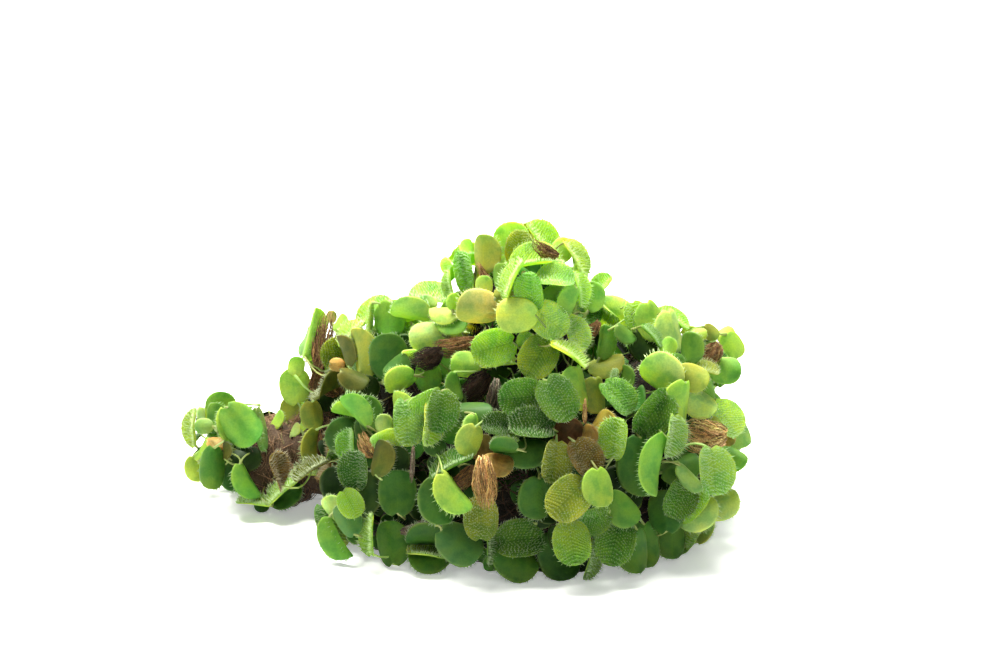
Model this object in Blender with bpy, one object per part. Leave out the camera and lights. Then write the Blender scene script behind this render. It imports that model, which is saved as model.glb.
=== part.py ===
"""Water spangles: one wet handful of a small floating fern, tangled into a heap."""
import math
import random

import bmesh
import bpy
import numpy as np
from mathutils import Vector
from mathutils.bvhtree import BVHTree

# Driving dimensions, in millimetres and degrees
UNIT = 0.28
LOOK = 17.0
LEAF_WIDE = 0.92
RIB_UP = 0.30
RIB_DOWN = 0.70
CUP = 22.0
STALK = 0.6
GAP = 0.35
STEP = 0.7
LAYER = 2.0
PAIR_SPACING = 12.8
LONGEST_STALK = 19.0
MM = 0.001

# The heap as lobes: middle x, y, z and half sizes, where the leaves lie
LOBES = [
    (20, 0, 20, 58, 55, 36),
    (17, 2, 58, 24, 24, 29),
    (-16, 8, 38, 22, 26, 26),
    (54, 4, 36, 26, 28, 27),
    (-22, -14, 14, 20, 26, 19),
    (-60, 24, 14, 19, 15, 15),
    (-42, 26, 38, 8, 9, 18),
]

# The matted root-like fronds inside: middle x, y, z, half sizes, fineness
MATS = [
    (20, 0, 16, 46, 43, 27, 3),
    (17, 3, 50, 13, 14, 23, 2),
    (-15, 9, 32, 11, 15, 17, 2),
    (52, 5, 30, 15, 18, 18, 2),
    (-18, -8, 8, 13, 22, 12, 2),
    (-36, 22, 15, 17, 11, 13, 2),
    (-52, 23, 11, 12, 12, 13, 2),
]

# Leaves as seen from the front: across and down in units, aim, length, lean,
# roll, fold, tone and layer. Roll 0 shows the hairy upper face, 180 the smooth one.
SPRIGS = {
    "sprig_crown_back": [
        (512, 243, 100, 44, 0, 180, 15, "l", 0),
        (540, 239, 122, 43, 0, -50, 20, "l", 0),
        (519, 246, 80, 34, 10, 0, 20, "o", 1),
        (563, 249, 60, 25, 0, 180, 5, "y", 1),
        (576, 259, -62, 40, 0, 63, 10, "y", 1),
        (584, 267, 75, 20, 0, 30, 10, "l", 0),
    ],
    "sprig_crown_left": [
        (484, 252, 92, 37, 0, 215, 10, "o", 1),
        (467, 246, 90, 17, 0, 150, 10, "l", 0),
        (463, 270, 100, 39, 5, 0, 48, "e", 2),
        (448, 265, 120, 20, 0, 45, 10, "l", 0),
        (450, 284, 100, 29, 0, 68, 10, "l", 1),
        (484, 285, 90, 19, 0, 180, 5, "y", 2),
        (477, 309, 178, 43, 10, 200, 15, "b", 2),
        (454, 301, 70, 17, 0, 140, 10, "l", 1),
    ],
    "sprig_crown_front": [
        (501, 275, 90, 24, 0, 205, 10, "g", 2),
        (538, 263, 5, 50, -10, 55, 25, "l", 1),
        (514, 279, 65, 40, 0, 68, 15, "l", 1),
        (519, 287, 70, 33, 0, -66, 10, "p", 2),
        (531, 290, 97, 37, 15, 25, 15, "m", 3),
        (556, 279, -5, 37, 10, 42, 15, "t", 3),
        (505, 294, 20, 20, 0, 180, 5, "o", 1),
    ],
    "sprig_crown_right": [
        (556, 301, 185, 34, 0, 200, 15, "d", 2),
        (570, 301, -110, 28, 0, 220, 15, "g", 2),
        (579, 290, -80, 35, 0, 65, 10, "l", 1),
        (592, 296, 80, 29, 0, 215, 10, "g", 1),
        (603, 284, 50, 26, 0, 40, 15, "l", 0),
        (578, 318, -60, 28, 5, 45, 10, "e", 2),
    ],
    "sprig_upper_middle": [
        (515, 315, 180, 39, 5, 180, 5, "y", 3),
        (550, 321, -40, 40, 10, 0, 8, "l", 3),
        (537, 358, -120, 43, 10, 0, 8, "l", 3),
        (492, 348, 195, 43, 10, 0, 12, "g", 3),
        (492, 362, 185, 43, 0, -64, 5, "y", 1),
        (525, 339, 60, 17, 0, 20, 10, "m", 1),
    ],
    "sprig_upper_right": [
        (574, 335, -72, 37, 5, 42, 15, "t", 3),
        (569, 355, -35, 41, 0, 74, 8, "y", 3),
        (607, 363, 15, 36, 0, 228, 10, "o", 1),
        (603, 341, 80, 33, 0, 205, 40, "m", 2),
    ],
    "sprig_middle": [
        (520, 397, 185, 45, 12, 0, 12, "m", 2),
        (558, 399, -58, 47, 12, 0, 18, "m", 3),
        (577, 389, -80, 43, 0, 225, 10, "l", 2),
        (595, 396, -85, 35, 0, 215, 10, "o", 1),
        (617, 398, -50, 40, 8, 35, 15, "g", 2),
        (616, 376, 90, 15, 0, 55, 5, "t", 1),
        (624, 378, 85, 27, 0, 235, 10, "m", 0),
    ],
    "sprig_shoulder_left": [
        (428, 296, 175, 43, 0, -55, 10, "t", 0),
        (426, 303, 160, 19, 0, 180, 5, "t", 1),
        (409, 312, 172, 39, 0, 228, 10, "t", 2),
        (389, 319, -90, 35, 0, 180, 8, "g", 1),
        (369, 320, -95, 35, 0, 180, 68, "l", 2),
        (374, 311, 40, 41, 0, 60, 10, "l", 0),
    ],
    "sprig_shoulder_middle": [
        (443, 312, 180, 29, 0, 130, 10, "y", 2),
        (452, 322, 0, 31, 0, 228, 10, "g", 1),
        (425, 337, 188, 33, 5, 180, 8, "l", 3),
        (465, 364, 175, 29, 5, 180, 8, "l", 3),
        (457, 386, -75, 28, 0, 235, 10, "l", 2),
        (428, 377, -85, 30, 0, 180, 10, "g", 1),
        (409, 353, 185, 15, 0, 45, 5, "t", 2),
    ],
    "sprig_shoulder_low": [
        (350, 333, 50, 33, 0, 62, 10, "y", 0),
        (359, 352, 100, 50, 0, 235, 10, "o", 1),
        (343, 350, 110, 32, 0, 240, 10, "k", 1),
        (354, 378, -20, 30, 0, 220, 10, "o", 1),
        (388, 355, 95, 44, 0, 180, 8, "d", 1),
        (397, 365, 40, 28, 0, 215, 8, "m", 1),
        (399, 381, 205, 31, 5, 210, 10, "m", 2),
        (366, 389, 60, 28, 0, 180, 8, "k", 0),
    ],
    "sprig_column": [
        (308, 332, 76, 52, 0, 195, 58, "l", 2),
        (328, 316, 90, 12, 0, 180, 5, "w", 2),
        (338, 322, 60, 19, 0, 225, 5, "l", 1),
        (333, 340, 70, 30, 0, 240, 10, "o", 1),
        (336, 365, -10, 15, 0, 180, 5, "a", 1),
        (328, 369, -60, 20, 0, 60, 5, "t", 1),
        (293, 366, 80, 19, 0, 180, 5, "l", 1),
    ],
    "sprig_column_foot": [
        (291, 386, 100, 36, 0, 180, 8, "l", 2),
        (285, 411, 80, 25, 0, 190, 8, "o", 1),
        (299, 417, 90, 28, 0, 255, 5, "l", 2),
        (310, 417, -80, 28, 0, 205, 8, "o", 2),
        (328, 423, 60, 21, 0, 200, 8, "m", 0),
        (322, 400, 0, 38, 0, 200, 8, "k", 0),
        (271, 421, 60, 22, 0, 240, 8, "l", 0),
    ],
    "sprig_tail_top": [
        (186, 429, 90, 39, 0, 66, 10, "y", 1),
        (214, 411, 90, 37, 0, 180, 8, "l", 0),
        (209, 417, 90, 26, 0, 205, 8, "g", 1),
        (197, 428, 180, 18, 0, 180, 5, "t", 2),
        (237, 427, -50, 46, 5, 180, 18, "g", 2),
        (222, 428, -75, 36, 0, 250, 5, "l", 2),
        (256, 432, -80, 43, 0, 180, 62, "g", 1),
        (212, 444, 0, 20, 0, 225, 5, "a", 1),
    ],
    "sprig_tail_low": [
        (196, 450, 60, 25, 0, 250, 5, "l", 1),
        (190, 472, -70, 27, 0, 215, 8, "y", 1),
        (208, 471, -92, 42, 5, 185, 38, "m", 2),
        (221, 452, 90, 17, 0, 235, 5, "k", 1),
        (229, 478, -70, 33, 0, 200, 8, "d", 1),
        (244, 484, -60, 39, 0, 238, 10, "g", 2),
        (242, 460, 10, 30, 0, 200, 8, "k", 0),
    ],
    "sprig_tail_floor": [
        (249, 505, 175, 35, 0, -70, 5, "l", 2),
        (257, 514, -90, 18, 0, 180, 5, "d", 1),
        (279, 493, 40, 38, 0, 68, 5, "l", 2),
        (284, 498, 38, 34, 0, 240, 5, "d", 1),
        (304, 475, 0, 31, 0, 66, 5, "o", 2),
        (311, 451, -90, 39, 0, 240, 5, "o", 2),
        (291, 431, 60, 14, 0, 225, 5, "t", 1),
    ],
    "sprig_left_fan": [
        (367, 412, 92, 34, 0, 215, 10, "g", 2),
        (355, 410, 132, 38, 0, 232, 10, "g", 3),
        (347, 413, 165, 34, 0, 240, 10, "g", 2),
        (346, 438, 150, 44, 0, 180, 10, "d", 1),
        (365, 430, 100, 26, 0, 190, 5, "d", 0),
    ],
    "sprig_left_edge": [
        (351, 445, 95, 34, 0, 45, 25, "g", 3),
        (356, 468, 92, 38, 8, 20, 15, "d", 3),
        (362, 491, 88, 44, 0, 205, 10, "k", 1),
        (352, 503, -60, 29, 5, 0, 8, "l", 3),
    ],
    "sprig_left_inner": [
        (384, 437, 200, 27, 5, 35, 10, "t", 2),
        (384, 423, 90, 19, 0, 180, 5, "l", 1),
        (395, 438, 70, 19, 0, 200, 5, "l", 1),
        (381, 456, 80, 35, 0, 225, 8, "m", 2),
        (398, 490, 90, 43, 0, 180, 8, "d", 1),
        (396, 460, 80, 30, 0, 190, 5, "k", 0),
    ],
    "sprig_left_hairy": [
        (400, 411, 95, 41, 0, 232, 10, "l", 2),
        (407, 423, -88, 46, 12, 25, 18, "m", 3),
        (424, 399, 205, 34, 8, 45, 10, "t", 3),
        (429, 425, -92, 40, 0, 55, 12, "y", 3),
        (440, 411, -98, 42, 8, 25, 15, "m", 3),
        (449, 403, 70, 38, 0, 215, 8, "k", 0),
        (436, 445, -20, 22, 0, 205, 5, "m", 1),
    ],
    "sprig_left_cup": [
        (475, 411, 0, 35, 0, 212, 12, "g", 2),
        (473, 426, -90, 24, 0, 225, 8, "l", 2),
        (470, 440, -110, 31, 0, 200, 10, "y", 2),
        (453, 464, 28, 45, 0, 68, 12, "l", 2),
        (456, 490, -52, 45, 0, 228, 15, "l", 3),
        (441, 499, -75, 46, 0, 212, 18, "m", 3),
    ],
    "sprig_foot_left": [
        (330, 540, -72, 48, 0, 35, 12, "g", 2),
        (340, 537, -58, 46, 0, 240, 62, "m", 3),
        (347, 518, 120, 33, 0, 205, 10, "e", 2),
        (333, 508, 130, 28, 0, 215, 10, "g", 1),
        (355, 537, -30, 15, 0, 225, 5, "l", 1),
    ],
    "sprig_foot_left_middle": [
        (371, 532, 90, 41, 0, 66, 8, "g", 2),
        (391, 541, 98, 43, 0, 205, 12, "m", 1),
        (427, 538, 178, 42, 0, 232, 12, "d", 1),
        (428, 558, 178, 40, 0, 130, 12, "d", 2),
        (428, 552, -8, 38, 0, 72, 5, "l", 2),
        (461, 542, -35, 46, 8, 190, 12, "e", 2),
    ],
    "sprig_foot_middle": [
        (484, 446, 60, 26, 0, 190, 10, "c", 1),
        (499, 461, -10, 29, 0, 205, 12, "b", 2),
        (481, 514, 90, 42, 0, 0, 18, "o", 2),
        (489, 545, -90, 34, 0, 72, 5, "m", 1),
        (493, 562, 190, 20, 0, 205, 5, "m", 1),
    ],
    "sprig_middle_cup": [
        (530, 426, 178, 45, 12, -35, 18, "d", 2),
        (530, 414, 0, 43, 0, 74, 5, "t", 1),
        (497, 424, 175, 30, 5, -25, 15, "d", 1),
        (506, 438, 0, 25, 0, 68, 5, "l", 2),
        (527, 448, 0, 43, 0, 222, 8, "d", 1),
        (503, 445, 175, 27, 0, 230, 5, "m", 2),
    ],
    "sprig_middle_brown": [
        (567, 434, 90, 36, 0, 190, 8, "n", 1),
        (584, 457, -60, 39, 8, 20, 12, "c", 2),
        (586, 435, 80, 25, 0, 225, 8, "c", 1),
        (600, 424, 60, 33, 0, 218, 10, "a", 2),
        (614, 436, 80, 40, 8, 30, 12, "g", 3),
        (553, 461, -100, 41, 8, 30, 12, "o", 2),
    ],
    "sprig_lower_middle": [
        (536, 497, -95, 40, 0, 200, 8, "m", 1),
        (566, 497, 225, 47, 12, 0, 10, "o", 3),
        (521, 538, 175, 47, 10, 0, 8, "d", 2),
        (517, 564, -30, 45, 0, 210, 8, "d", 1),
    ],
    "sprig_lower_right": [
        (598, 486, -80, 37, 5, 205, 8, "l", 3),
        (591, 517, 200, 35, 5, 25, 12, "m", 2),
        (571, 541, -80, 43, 10, 0, 10, "l", 3),
        (556, 535, 100, 25, 0, 205, 8, "k", 0),
        (560, 565, -70, 48, 0, 200, 8, "d", 1),
        (590, 558, -103, 44, 0, 70, 5, "t", 2),
    ],
    "sprig_foot_right": [
        (613, 541, -105, 46, 10, 0, 12, "m", 3),
        (622, 507, -45, 38, 0, 205, 12, "g", 2),
        (634, 550, -90, 43, 0, 215, 8, "m", 2),
        (644, 545, -85, 43, 0, 205, 8, "k", 1),
        (664, 509, 95, 41, 0, 190, 8, "d", 0),
        (671, 540, -90, 37, 0, 200, 8, "d", 1),
        (683, 547, 60, 19, 0, 225, 5, "g", 1),
    ],
    "sprig_right_low": [
        (677, 498, 245, 40, 8, 20, 12, "m", 2),
        (691, 501, 50, 40, 8, 25, 12, "g", 3),
        (698, 511, 30, 41, 0, 218, 10, "y", 3),
        (722, 503, 20, 38, 0, 205, 12, "l", 1),
        (692, 531, 62, 33, 0, 40, 10, "t", 1),
        (706, 531, 68, 31, 0, 250, 5, "l", 0),
    ],
    "sprig_right_middle": [
        (712, 471, -85, 47, 8, 28, 10, "t", 3),
        (721, 468, -60, 27, 0, 220, 8, "l", 1),
        (690, 476, -45, 33, 5, 200, 48, "t", 2),
        (680, 466, 20, 39, 0, 215, 8, "k", 0),
        (731, 456, -25, 37, 0, 220, 10, "g", 2),
    ],
    "sprig_right_long": [
        (650, 413, 230, 50, 10, 20, 25, "m", 2),
        (660, 407, -130, 32, 0, 240, 5, "g", 2),
        (650, 432, -120, 38, 0, 230, 8, "d", 1),
        (642, 466, -82, 58, 0, 208, 20, "d", 1),
        (656, 465, -100, 60, 0, 246, 10, "g", 2),
        (670, 436, -100, 41, 0, 55, 10, "e", 3),
        (680, 405, -98, 45, 0, 228, 12, "l", 3),
    ],
    "sprig_right_edge": [
        (700, 402, -35, 36, 5, 210, 10, "c", 2),
        (727, 420, -55, 40, 5, 35, 12, "t", 2),
        (738, 428, -65, 45, 0, 215, 12, "g", 0),
        (716, 427, -60, 19, 0, 200, 5, "y", 2),
        (729, 438, -60, 17, 0, 200, 5, "a", 3),
        (710, 389, -80, 21, 0, 225, 5, "g", 0),
    ],
    "sprig_right_top": [
        (612, 313, 170, 39, 5, 198, 8, "l", 3),
        (636, 321, -80, 37, 5, 30, 10, "g", 2),
        (655, 322, -65, 41, 0, 215, 12, "g", 1),
        (673, 332, -75, 41, 0, 222, 12, "t", 1),
        (675, 319, -30, 35, 0, 65, 8, "l", 0),
        (626, 334, -40, 23, 0, 225, 5, "o", 2),
    ],
    "sprig_right_hollow": [
        (647, 346, -50, 36, 0, 200, 8, "k", 0),
        (652, 336, -50, 28, 0, 72, 5, "g", 1),
        (668, 346, 65, 19, 0, 200, 5, "l", 2),
        (660, 372, 145, 43, 8, 200, 8, "l", 3),
        (677, 362, -50, 17, 0, 20, 5, "t", 2),
    ],
    "sprig_right_shoulder": [
        (693, 377, -25, 32, 5, 195, 8, "o", 3),
        (704, 369, -12, 31, 0, 66, 5, "y", 2),
        (727, 370, 0, 31, 5, 190, 8, "g", 2),
        (690, 347, 90, 31, 0, 215, 8, "m", 1),
        (700, 334, 10, 16, 0, 200, 5, "y", 1),
        (713, 332, -40, 18, 0, 200, 5, "o", 0),
        (736, 346, -60, 27, 0, 195, 8, "l", 1),
        (729, 334, 30, 19, 0, 200, 5, "y", 0),
    ],
}

# Tufts of root-like fronds: sprig, from, to, half width, tone and layer
TUFTS = {
    "sprig_crown_back": [(557, 256, 535, 243, 6, "r", 1)],
    "sprig_crown_left": [(491, 282, 478, 264, 3, "s", 1)],
    "sprig_crown_right": [(598, 322, 584, 337, 6, "r", 1)],
    "sprig_shoulder_middle": [(477, 343, 436, 347, 9, "r", 2), (441, 352, 412, 361, 10, "z", 2)],
    "sprig_middle": [(487, 374, 459, 398, 10, "z", 1), (496, 380, 492, 410, 6, "f", 1)],
    "sprig_column": [(315, 366, 325, 315, 9, "r", 2)],
    "sprig_left_edge": [(375, 455, 361, 436, 7, "s", 2)],
    "sprig_left_inner": [(414, 447, 412, 479, 2, "f", 2)],
    "sprig_left_cup": [(474, 466, 455, 484, 7, "r", 0)],
    "sprig_foot_middle": [(484, 456, 486, 503, 10, "s", 3)],
    "sprig_foot_left_middle": [(403, 530, 436, 517, 5, "f", 0)],
    "sprig_middle_brown": [(584, 422, 584, 400, 2, "s", 2)],
    "sprig_right_shoulder": [(720, 345, 701, 363, 9, "r", 1)],
    "sprig_right_edge": [(724, 436, 681, 430, 14, "r", 2)],
    "sprig_right_middle": [(700, 466, 707, 497, 3, "r", 2)],
}

SIN = math.sin(math.radians(LOOK))
COS = math.cos(math.radians(LOOK))
RIGHT = Vector((1, 0, 0))
UP = Vector((0, SIN, COS))
NEAR = Vector((0, -COS, SIN))


def mound(points):
    """How far inside the heap each point lies: above 0 is inside its outline."""
    best = np.full(len(points), -9.0)
    for x, y, z, rx, ry, rz in LOBES:
        local = (points - (x, y, z)) / (rx, ry, rz)
        best = np.maximum(best, 1 - np.sqrt((local ** 2).sum(axis=1)))
    return best


def on_front(x, y):
    """The heap's nearest point behind a place in the front view."""
    u = (x - 462) * UNIT
    v = (585 - y) * UNIT - 16.1
    w = np.arange(90, -90, -0.5)
    line = np.outer(w, NEAR) + np.array(RIGHT * u + UP * v)
    depth = mound(line)
    depth[line[:, 2] < 1.0] -= 2
    inside = np.nonzero(depth >= 0)[0]
    pick = inside[0] if len(inside) else int(depth.argmax())
    return Vector(line[pick])


def leaf_axes(aim, lean, roll, up, near):
    """Along, across and upper-face directions of a leaf."""
    right = up.cross(near)
    aim = math.radians(aim)
    lean = math.radians(lean)
    roll = math.radians(roll)
    flat = right * math.cos(aim) + up * math.sin(aim)
    along = flat * math.cos(lean) + near * math.sin(lean)
    face = near * math.cos(lean) - flat * math.sin(lean)
    side = face.cross(along)
    face = face * math.cos(roll) + side * math.sin(roll)
    return along, face.cross(along), face


def blade_points(t, s, size, fold, grow=1.0):
    """Points of a leaf blade: t runs from base to tip, s from edge to edge."""
    half = size * LEAF_WIDE / 2 * grow
    round_out = np.clip(1 - np.abs(2 * t - 1) ** 2.3, 0, 1) ** 0.5
    wide = s * round_out
    turn = np.radians(np.minimum(fold + CUP * np.abs(wide) / 2, 86))
    across = half * wide * np.cos(turn)
    lift = half * np.abs(wide) * np.sin(turn)
    along = size * grow * (t - 0.5) - 0.10 * size * np.abs(s) * (1 - t) ** 3
    lift = lift - 0.10 * size * (2 * t - 1) ** 2 * 0.5
    return along, across, lift


RIMS = {
    8: ((0.0, 0.10, 0.45, 0.84, 1.0, 0.84, 0.45, 0.10), (0, 1, 1, 1, 0, -1, -1, -1)),
    6: ((0.0, 0.24, 0.76, 1.0, 0.76, 0.24), (0, 1.06, 1.06, 0, -1.06, -1.06)),
}


def leaf_shape(middle, axes, size, fold, grow=1.0, extra=0.0, rim=8):
    """A leaf as a thin closed form with its rim and a thicker midrib."""
    along, side, face = axes
    t, s = (np.array(values, dtype=float) for values in RIMS[rim])
    a, c, h = blade_points(t, s, size, fold, grow)
    points = [middle + along * p + side * q + face * r for p, q, r in zip(a, c, h)]
    top = middle + face * (RIB_UP + extra)
    low = middle - face * (RIB_DOWN + extra)
    faces = []
    for i in range(rim):
        j = (i + 1) % rim
        faces.append((i, j, rim))
        faces.append((j, i, rim + 1))
    return [*points, top, low], faces


def run_along(path, ring):
    """Copies of a small ring of points carried along a path."""
    rings = []
    way = (path[1] - path[0]).normalized()
    for k, spot in enumerate(path):
        back = (path[k] - path[max(k - 1, 0)]).normalized()
        ahead = (path[min(k + 1, len(path) - 1)] - path[k]).normalized()
        turn = way.rotation_difference((back + ahead).normalized())
        way = (back + ahead).normalized()
        ring = [turn @ offset for offset in ring]
        rings.append([spot + offset for offset in ring])
    return rings


TUFT_RINGS = ((0.0, 0.6), (0.34, 1.0), (0.74, 0.72))


def tuft_shape(path, wide, extra=0.0):
    """A tuft as a tapering six-sided form that ends in a point."""
    rings = [wide * r + extra for _, r in TUFT_RINGS] + [0.05 + extra]
    return tube_shape(path, rings, 6)


class Sprig:
    """One plant as a single closed mesh: leaves and tufts on stalks that branch from each other."""

    def __init__(self):
        self.points = []
        self.faces = {}
        self.spots = []
        self.pieces = []

    def face(self, *corners):
        self.faces[tuple(sorted(corners))] = corners

    def add_points(self, points):
        start = len(self.points)
        self.points.extend(points)
        return list(range(start, start + len(points)))

    def add_leaf(self, piece):
        """The blade, open at its base; returns the three corners of the opening."""
        shape = leaf_shape(piece["middle"], piece["axes"], piece["size"], piece["fold"], rim=piece["rim"])
        base = shape[0][0]
        rim = self.add_points(shape[0][1:-2])
        top, low = self.add_points(shape[0][-2:])
        _, side, face = piece["axes"]
        ring = self.add_points([base + side * STALK * 0.8, base - side * STALK * 0.8, base - face * STALK])
        for one, two in zip(rim, rim[1:]):
            self.face(one, two, top)
            self.face(two, one, low)
        left, right, under = ring
        self.face(left, rim[0], top)
        self.face(rim[-1], right, top)
        self.face(right, left, top)
        self.face(rim[0], left, low)
        self.face(right, rim[-1], low)
        self.face(left, under, low)
        self.face(under, right, low)
        return ring

    def add_tuft(self, piece):
        """The tuft, open at its thick end; returns the three corners of the opening."""
        shape = tuft_shape(piece["path"], piece["wide"])
        rings = [self.add_points(shape[0][6 * k:6 * k + 6]) for k in range(3)]
        tip = self.add_points([piece["path"][3]])[0]
        for one, two in zip(rings, rings[1:]):
            for i in range(6):
                j = (i + 1) % 6
                self.face(one[i], one[j], two[j])
                self.face(one[i], two[j], two[i])
        for i in range(6):
            self.face(rings[2][i], rings[2][(i + 1) % 6], tip)
        start = piece["path"][0]
        back = piece["way"] * 0.5
        trio = [start + back + (self.points[rings[0][2 * i]] - start).normalized() * STALK for i in range(3)]
        ring = self.add_points(trio)
        first = rings[0]
        for i in range(3):
            a, b, c = first[2 * i], first[2 * i + 1], first[(2 * i + 2) % 6]
            one, two = ring[i], ring[(i + 1) % 3]
            self.face(a, b, one)
            self.face(b, two, one)
            self.face(b, c, two)
        return ring

    def grow(self, piece, path, spot, owner):
        """Add a piece with its stalk, which opens into the chosen face of the stalk it leaves."""
        ring = self.add_leaf(piece) if piece["kind"] == "leaf" else self.add_tuft(piece)
        offsets = [self.points[i] - path[0] for i in ring]
        shrink = [offset * (STALK / max(offset.length, 0.01)) for offset in offsets]
        stations = path[1:-1] if spot else path[1:]
        carried = run_along([path[0] - piece["way"]] + path, shrink)[2:]
        for k in range(len(stations)):
            after = self.add_points(carried[k])
            self.bridge(ring, after, owner)
            ring = after
        if spot is None:
            self.face(*ring)
        else:
            del self.faces[tuple(sorted(spot["corners"]))]
            best = None
            for turn in range(3):
                for flip in (1, -1):
                    trio = [spot["corners"][(turn + flip * i) % 3] for i in range(3)]
                    cost = sum((self.points[a] - self.points[b]).length for a, b in zip(ring, trio))
                    if best is None or cost < best[0]:
                        best = (cost, trio)
            self.bridge(ring, best[1], owner)
            self.spots.remove(spot)
        self.pieces.append(piece)

    def fits(self, heap, piece, path, spot):
        """True if the piece, grown this way, would touch neither its own plant nor another."""
        trial = Sprig()
        trial.points = list(self.points)
        trial.faces = dict(self.faces)
        trial.spots = list(self.spots)
        trial.grow(piece, path, spot, None)
        new = [trial.faces[key] for key in trial.faces if key not in self.faces]
        old = [trial.faces[key] for key in trial.faces if key in self.faces]
        tree = BVHTree.FromPolygons(trial.points, new)
        for a, b in tree.overlap(tree):
            if a < b and not set(new[a]) & set(new[b]):
                return False
        if old:
            for a, b in tree.overlap(BVHTree.FromPolygons(trial.points, old)):
                if not set(new[a]) & set(old[b]):
                    return False
        used = sorted({i for corners in new for i in corners})
        if min(trial.points[i].z for i in used) < 0.15:
            return False
        place = {i: k for k, i in enumerate(used)}
        shape = ([trial.points[i] for i in used], [tuple(place[i] for i in corners) for corners in new])
        skip = {piece["index"]}
        for other in self.pieces:
            skip |= {other["index"], ("stalk", other["index"])}
        if not heap.clear(shape, skip):
            return False
        piece["form"] = shape
        return True

    def bridge(self, one, two, owner):
        """The three sides between two rings of a stalk."""
        axis = sum((self.points[i] for i in one + two), Vector()) / 6
        for i in range(3):
            j = (i + 1) % 3
            for corners in ((one[i], one[j], two[j]), (one[i], two[j], two[i])):
                self.face(*corners)
                a, b, c = (self.points[k] for k in corners)
                normal = (b - a).cross(c - a)
                area = normal.length / 2
                centre = (a + b + c) / 3
                if area < 0.5 or area > 4.5:
                    continue
                normal.normalize()
                if normal.dot(centre - axis) < 0:
                    normal.negate()
                self.spots.append({"corners": corners, "centre": centre, "normal": normal, "owner": owner})


def tube_shape(path, radii, sides=3, past=0.0):
    """A stem along a path, closed at both ends, which run a little past the last points."""
    path = list(path)
    path[0] = path[0] + (path[0] - path[1]).normalized() * past
    path[-1] = path[-1] + (path[-1] - path[-2]).normalized() * past
    points = []
    faces = []
    out = None
    for k, spot in enumerate(path):
        back = (path[k] - path[max(k - 1, 0)]).normalized()
        ahead = (path[min(k + 1, len(path) - 1)] - path[k]).normalized()
        way = (back + ahead).normalized()
        if out is None:
            lean = Vector((0.31, 0.17, 0.93))
            if abs(way.dot(lean)) > 0.9:
                lean = Vector((0.9, -0.3, 0.2))
            out = way.cross(lean)
        out = (out - way * out.dot(way)).normalized()
        other = way.cross(out)
        for i in range(sides):
            turn = 2 * math.pi * i / sides
            points.append(spot + (out * math.cos(turn) + other * math.sin(turn)) * radii[k])
    for k in range(len(path) - 1):
        for i in range(sides):
            j = (i + 1) % sides
            a = k * sides
            b = a + sides
            faces.append((a + i, a + j, b + j, b + i))
    faces.append(tuple(range(sides))[::-1])
    last = (len(path) - 1) * sides
    faces.append(tuple(range(last, last + sides)))
    return points, faces


def tree_of(shapes):
    points = []
    faces = []
    for verts, polys in shapes:
        base = len(points)
        points.extend(verts)
        faces.extend(tuple(base + i for i in poly) for poly in polys)
    return BVHTree.FromPolygons(points, faces)


def ball_shape(x, y, z, rx, ry, rz, fineness):
    """A faceted lobe, cut flat where it reaches the ground."""
    mesh = bmesh.new()
    bmesh.ops.create_icosphere(mesh, subdivisions=fineness, radius=1.0)
    rng = random.Random(int(x * 7 + z))
    for vert in mesh.verts:
        swell = 1 + rng.uniform(-0.05, 0.05)
        vert.co = Vector((x + vert.co.x * rx * swell, y + vert.co.y * ry * swell, z + vert.co.z * rz * swell))
    whole = mesh.verts[:] + mesh.edges[:] + mesh.faces[:]
    cut = bmesh.ops.bisect_plane(mesh, geom=whole, plane_co=(0, 0, 0), plane_no=(0, 0, -1), clear_outer=True)
    edges = [e for e in cut["geom_cut"] if isinstance(e, bmesh.types.BMEdge)]
    if edges:
        bmesh.ops.contextual_create(mesh, geom=edges)
    bmesh.ops.recalc_face_normals(mesh, faces=mesh.faces)
    points = [v.co.copy() for v in mesh.verts]
    faces = [tuple(v.index for v in f.verts) for f in mesh.faces]
    mesh.free()
    return points, faces


# The heap's outline in the front view, across and down in units
OUTLINE = [
    (182, 480), (181, 410), (192, 409), (196, 405), (210, 396), (226, 397), (250, 409), (265, 432),
    (277, 412), (274, 375), (286, 366), (290, 357), (294, 335), (300, 318), (310, 309), (330, 311),
    (344, 318), (344, 340), (350, 330), (358, 320), (370, 305), (395, 296), (407, 289), (430, 284),
    (445, 284), (446, 262), (464, 240), (484, 234), (498, 234), (512, 222), (535, 219), (553, 244),
    (563, 237), (575, 249), (590, 262), (600, 276), (611, 273), (608, 292), (625, 300), (650, 308),
    (675, 311), (690, 325), (705, 325), (720, 336), (731, 327), (747, 345), (742, 380), (716, 392),
    (747, 420), (747, 450), (744, 467), (723, 475), (738, 490), (712, 520), (703, 546), (672, 558),
    (652, 562), (637, 571), (585, 580), (560, 582), (520, 580), (478, 563), (446, 562), (430, 567),
    (395, 562), (345, 562), (322, 555), (318, 530), (325, 512), (340, 492), (318, 480), (292, 484),
    (266, 505), (257, 522), (246, 512), (234, 508), (244, 498), (208, 490), (190, 484),
]


def in_outline(point):
    """True where a point lies inside the outline of the front view."""
    x = point.dot(RIGHT) / UNIT + 462
    y = 585 - (point.dot(UP) + 16.1) / UNIT
    inside = False
    for k, (ax, ay) in enumerate(OUTLINE):
        bx, by = OUTLINE[k - 1]
        if (ay > y) != (by > y) and x < (bx - ax) * (y - ay) / (by - ay) + ax:
            inside = not inside
    return inside


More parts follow.
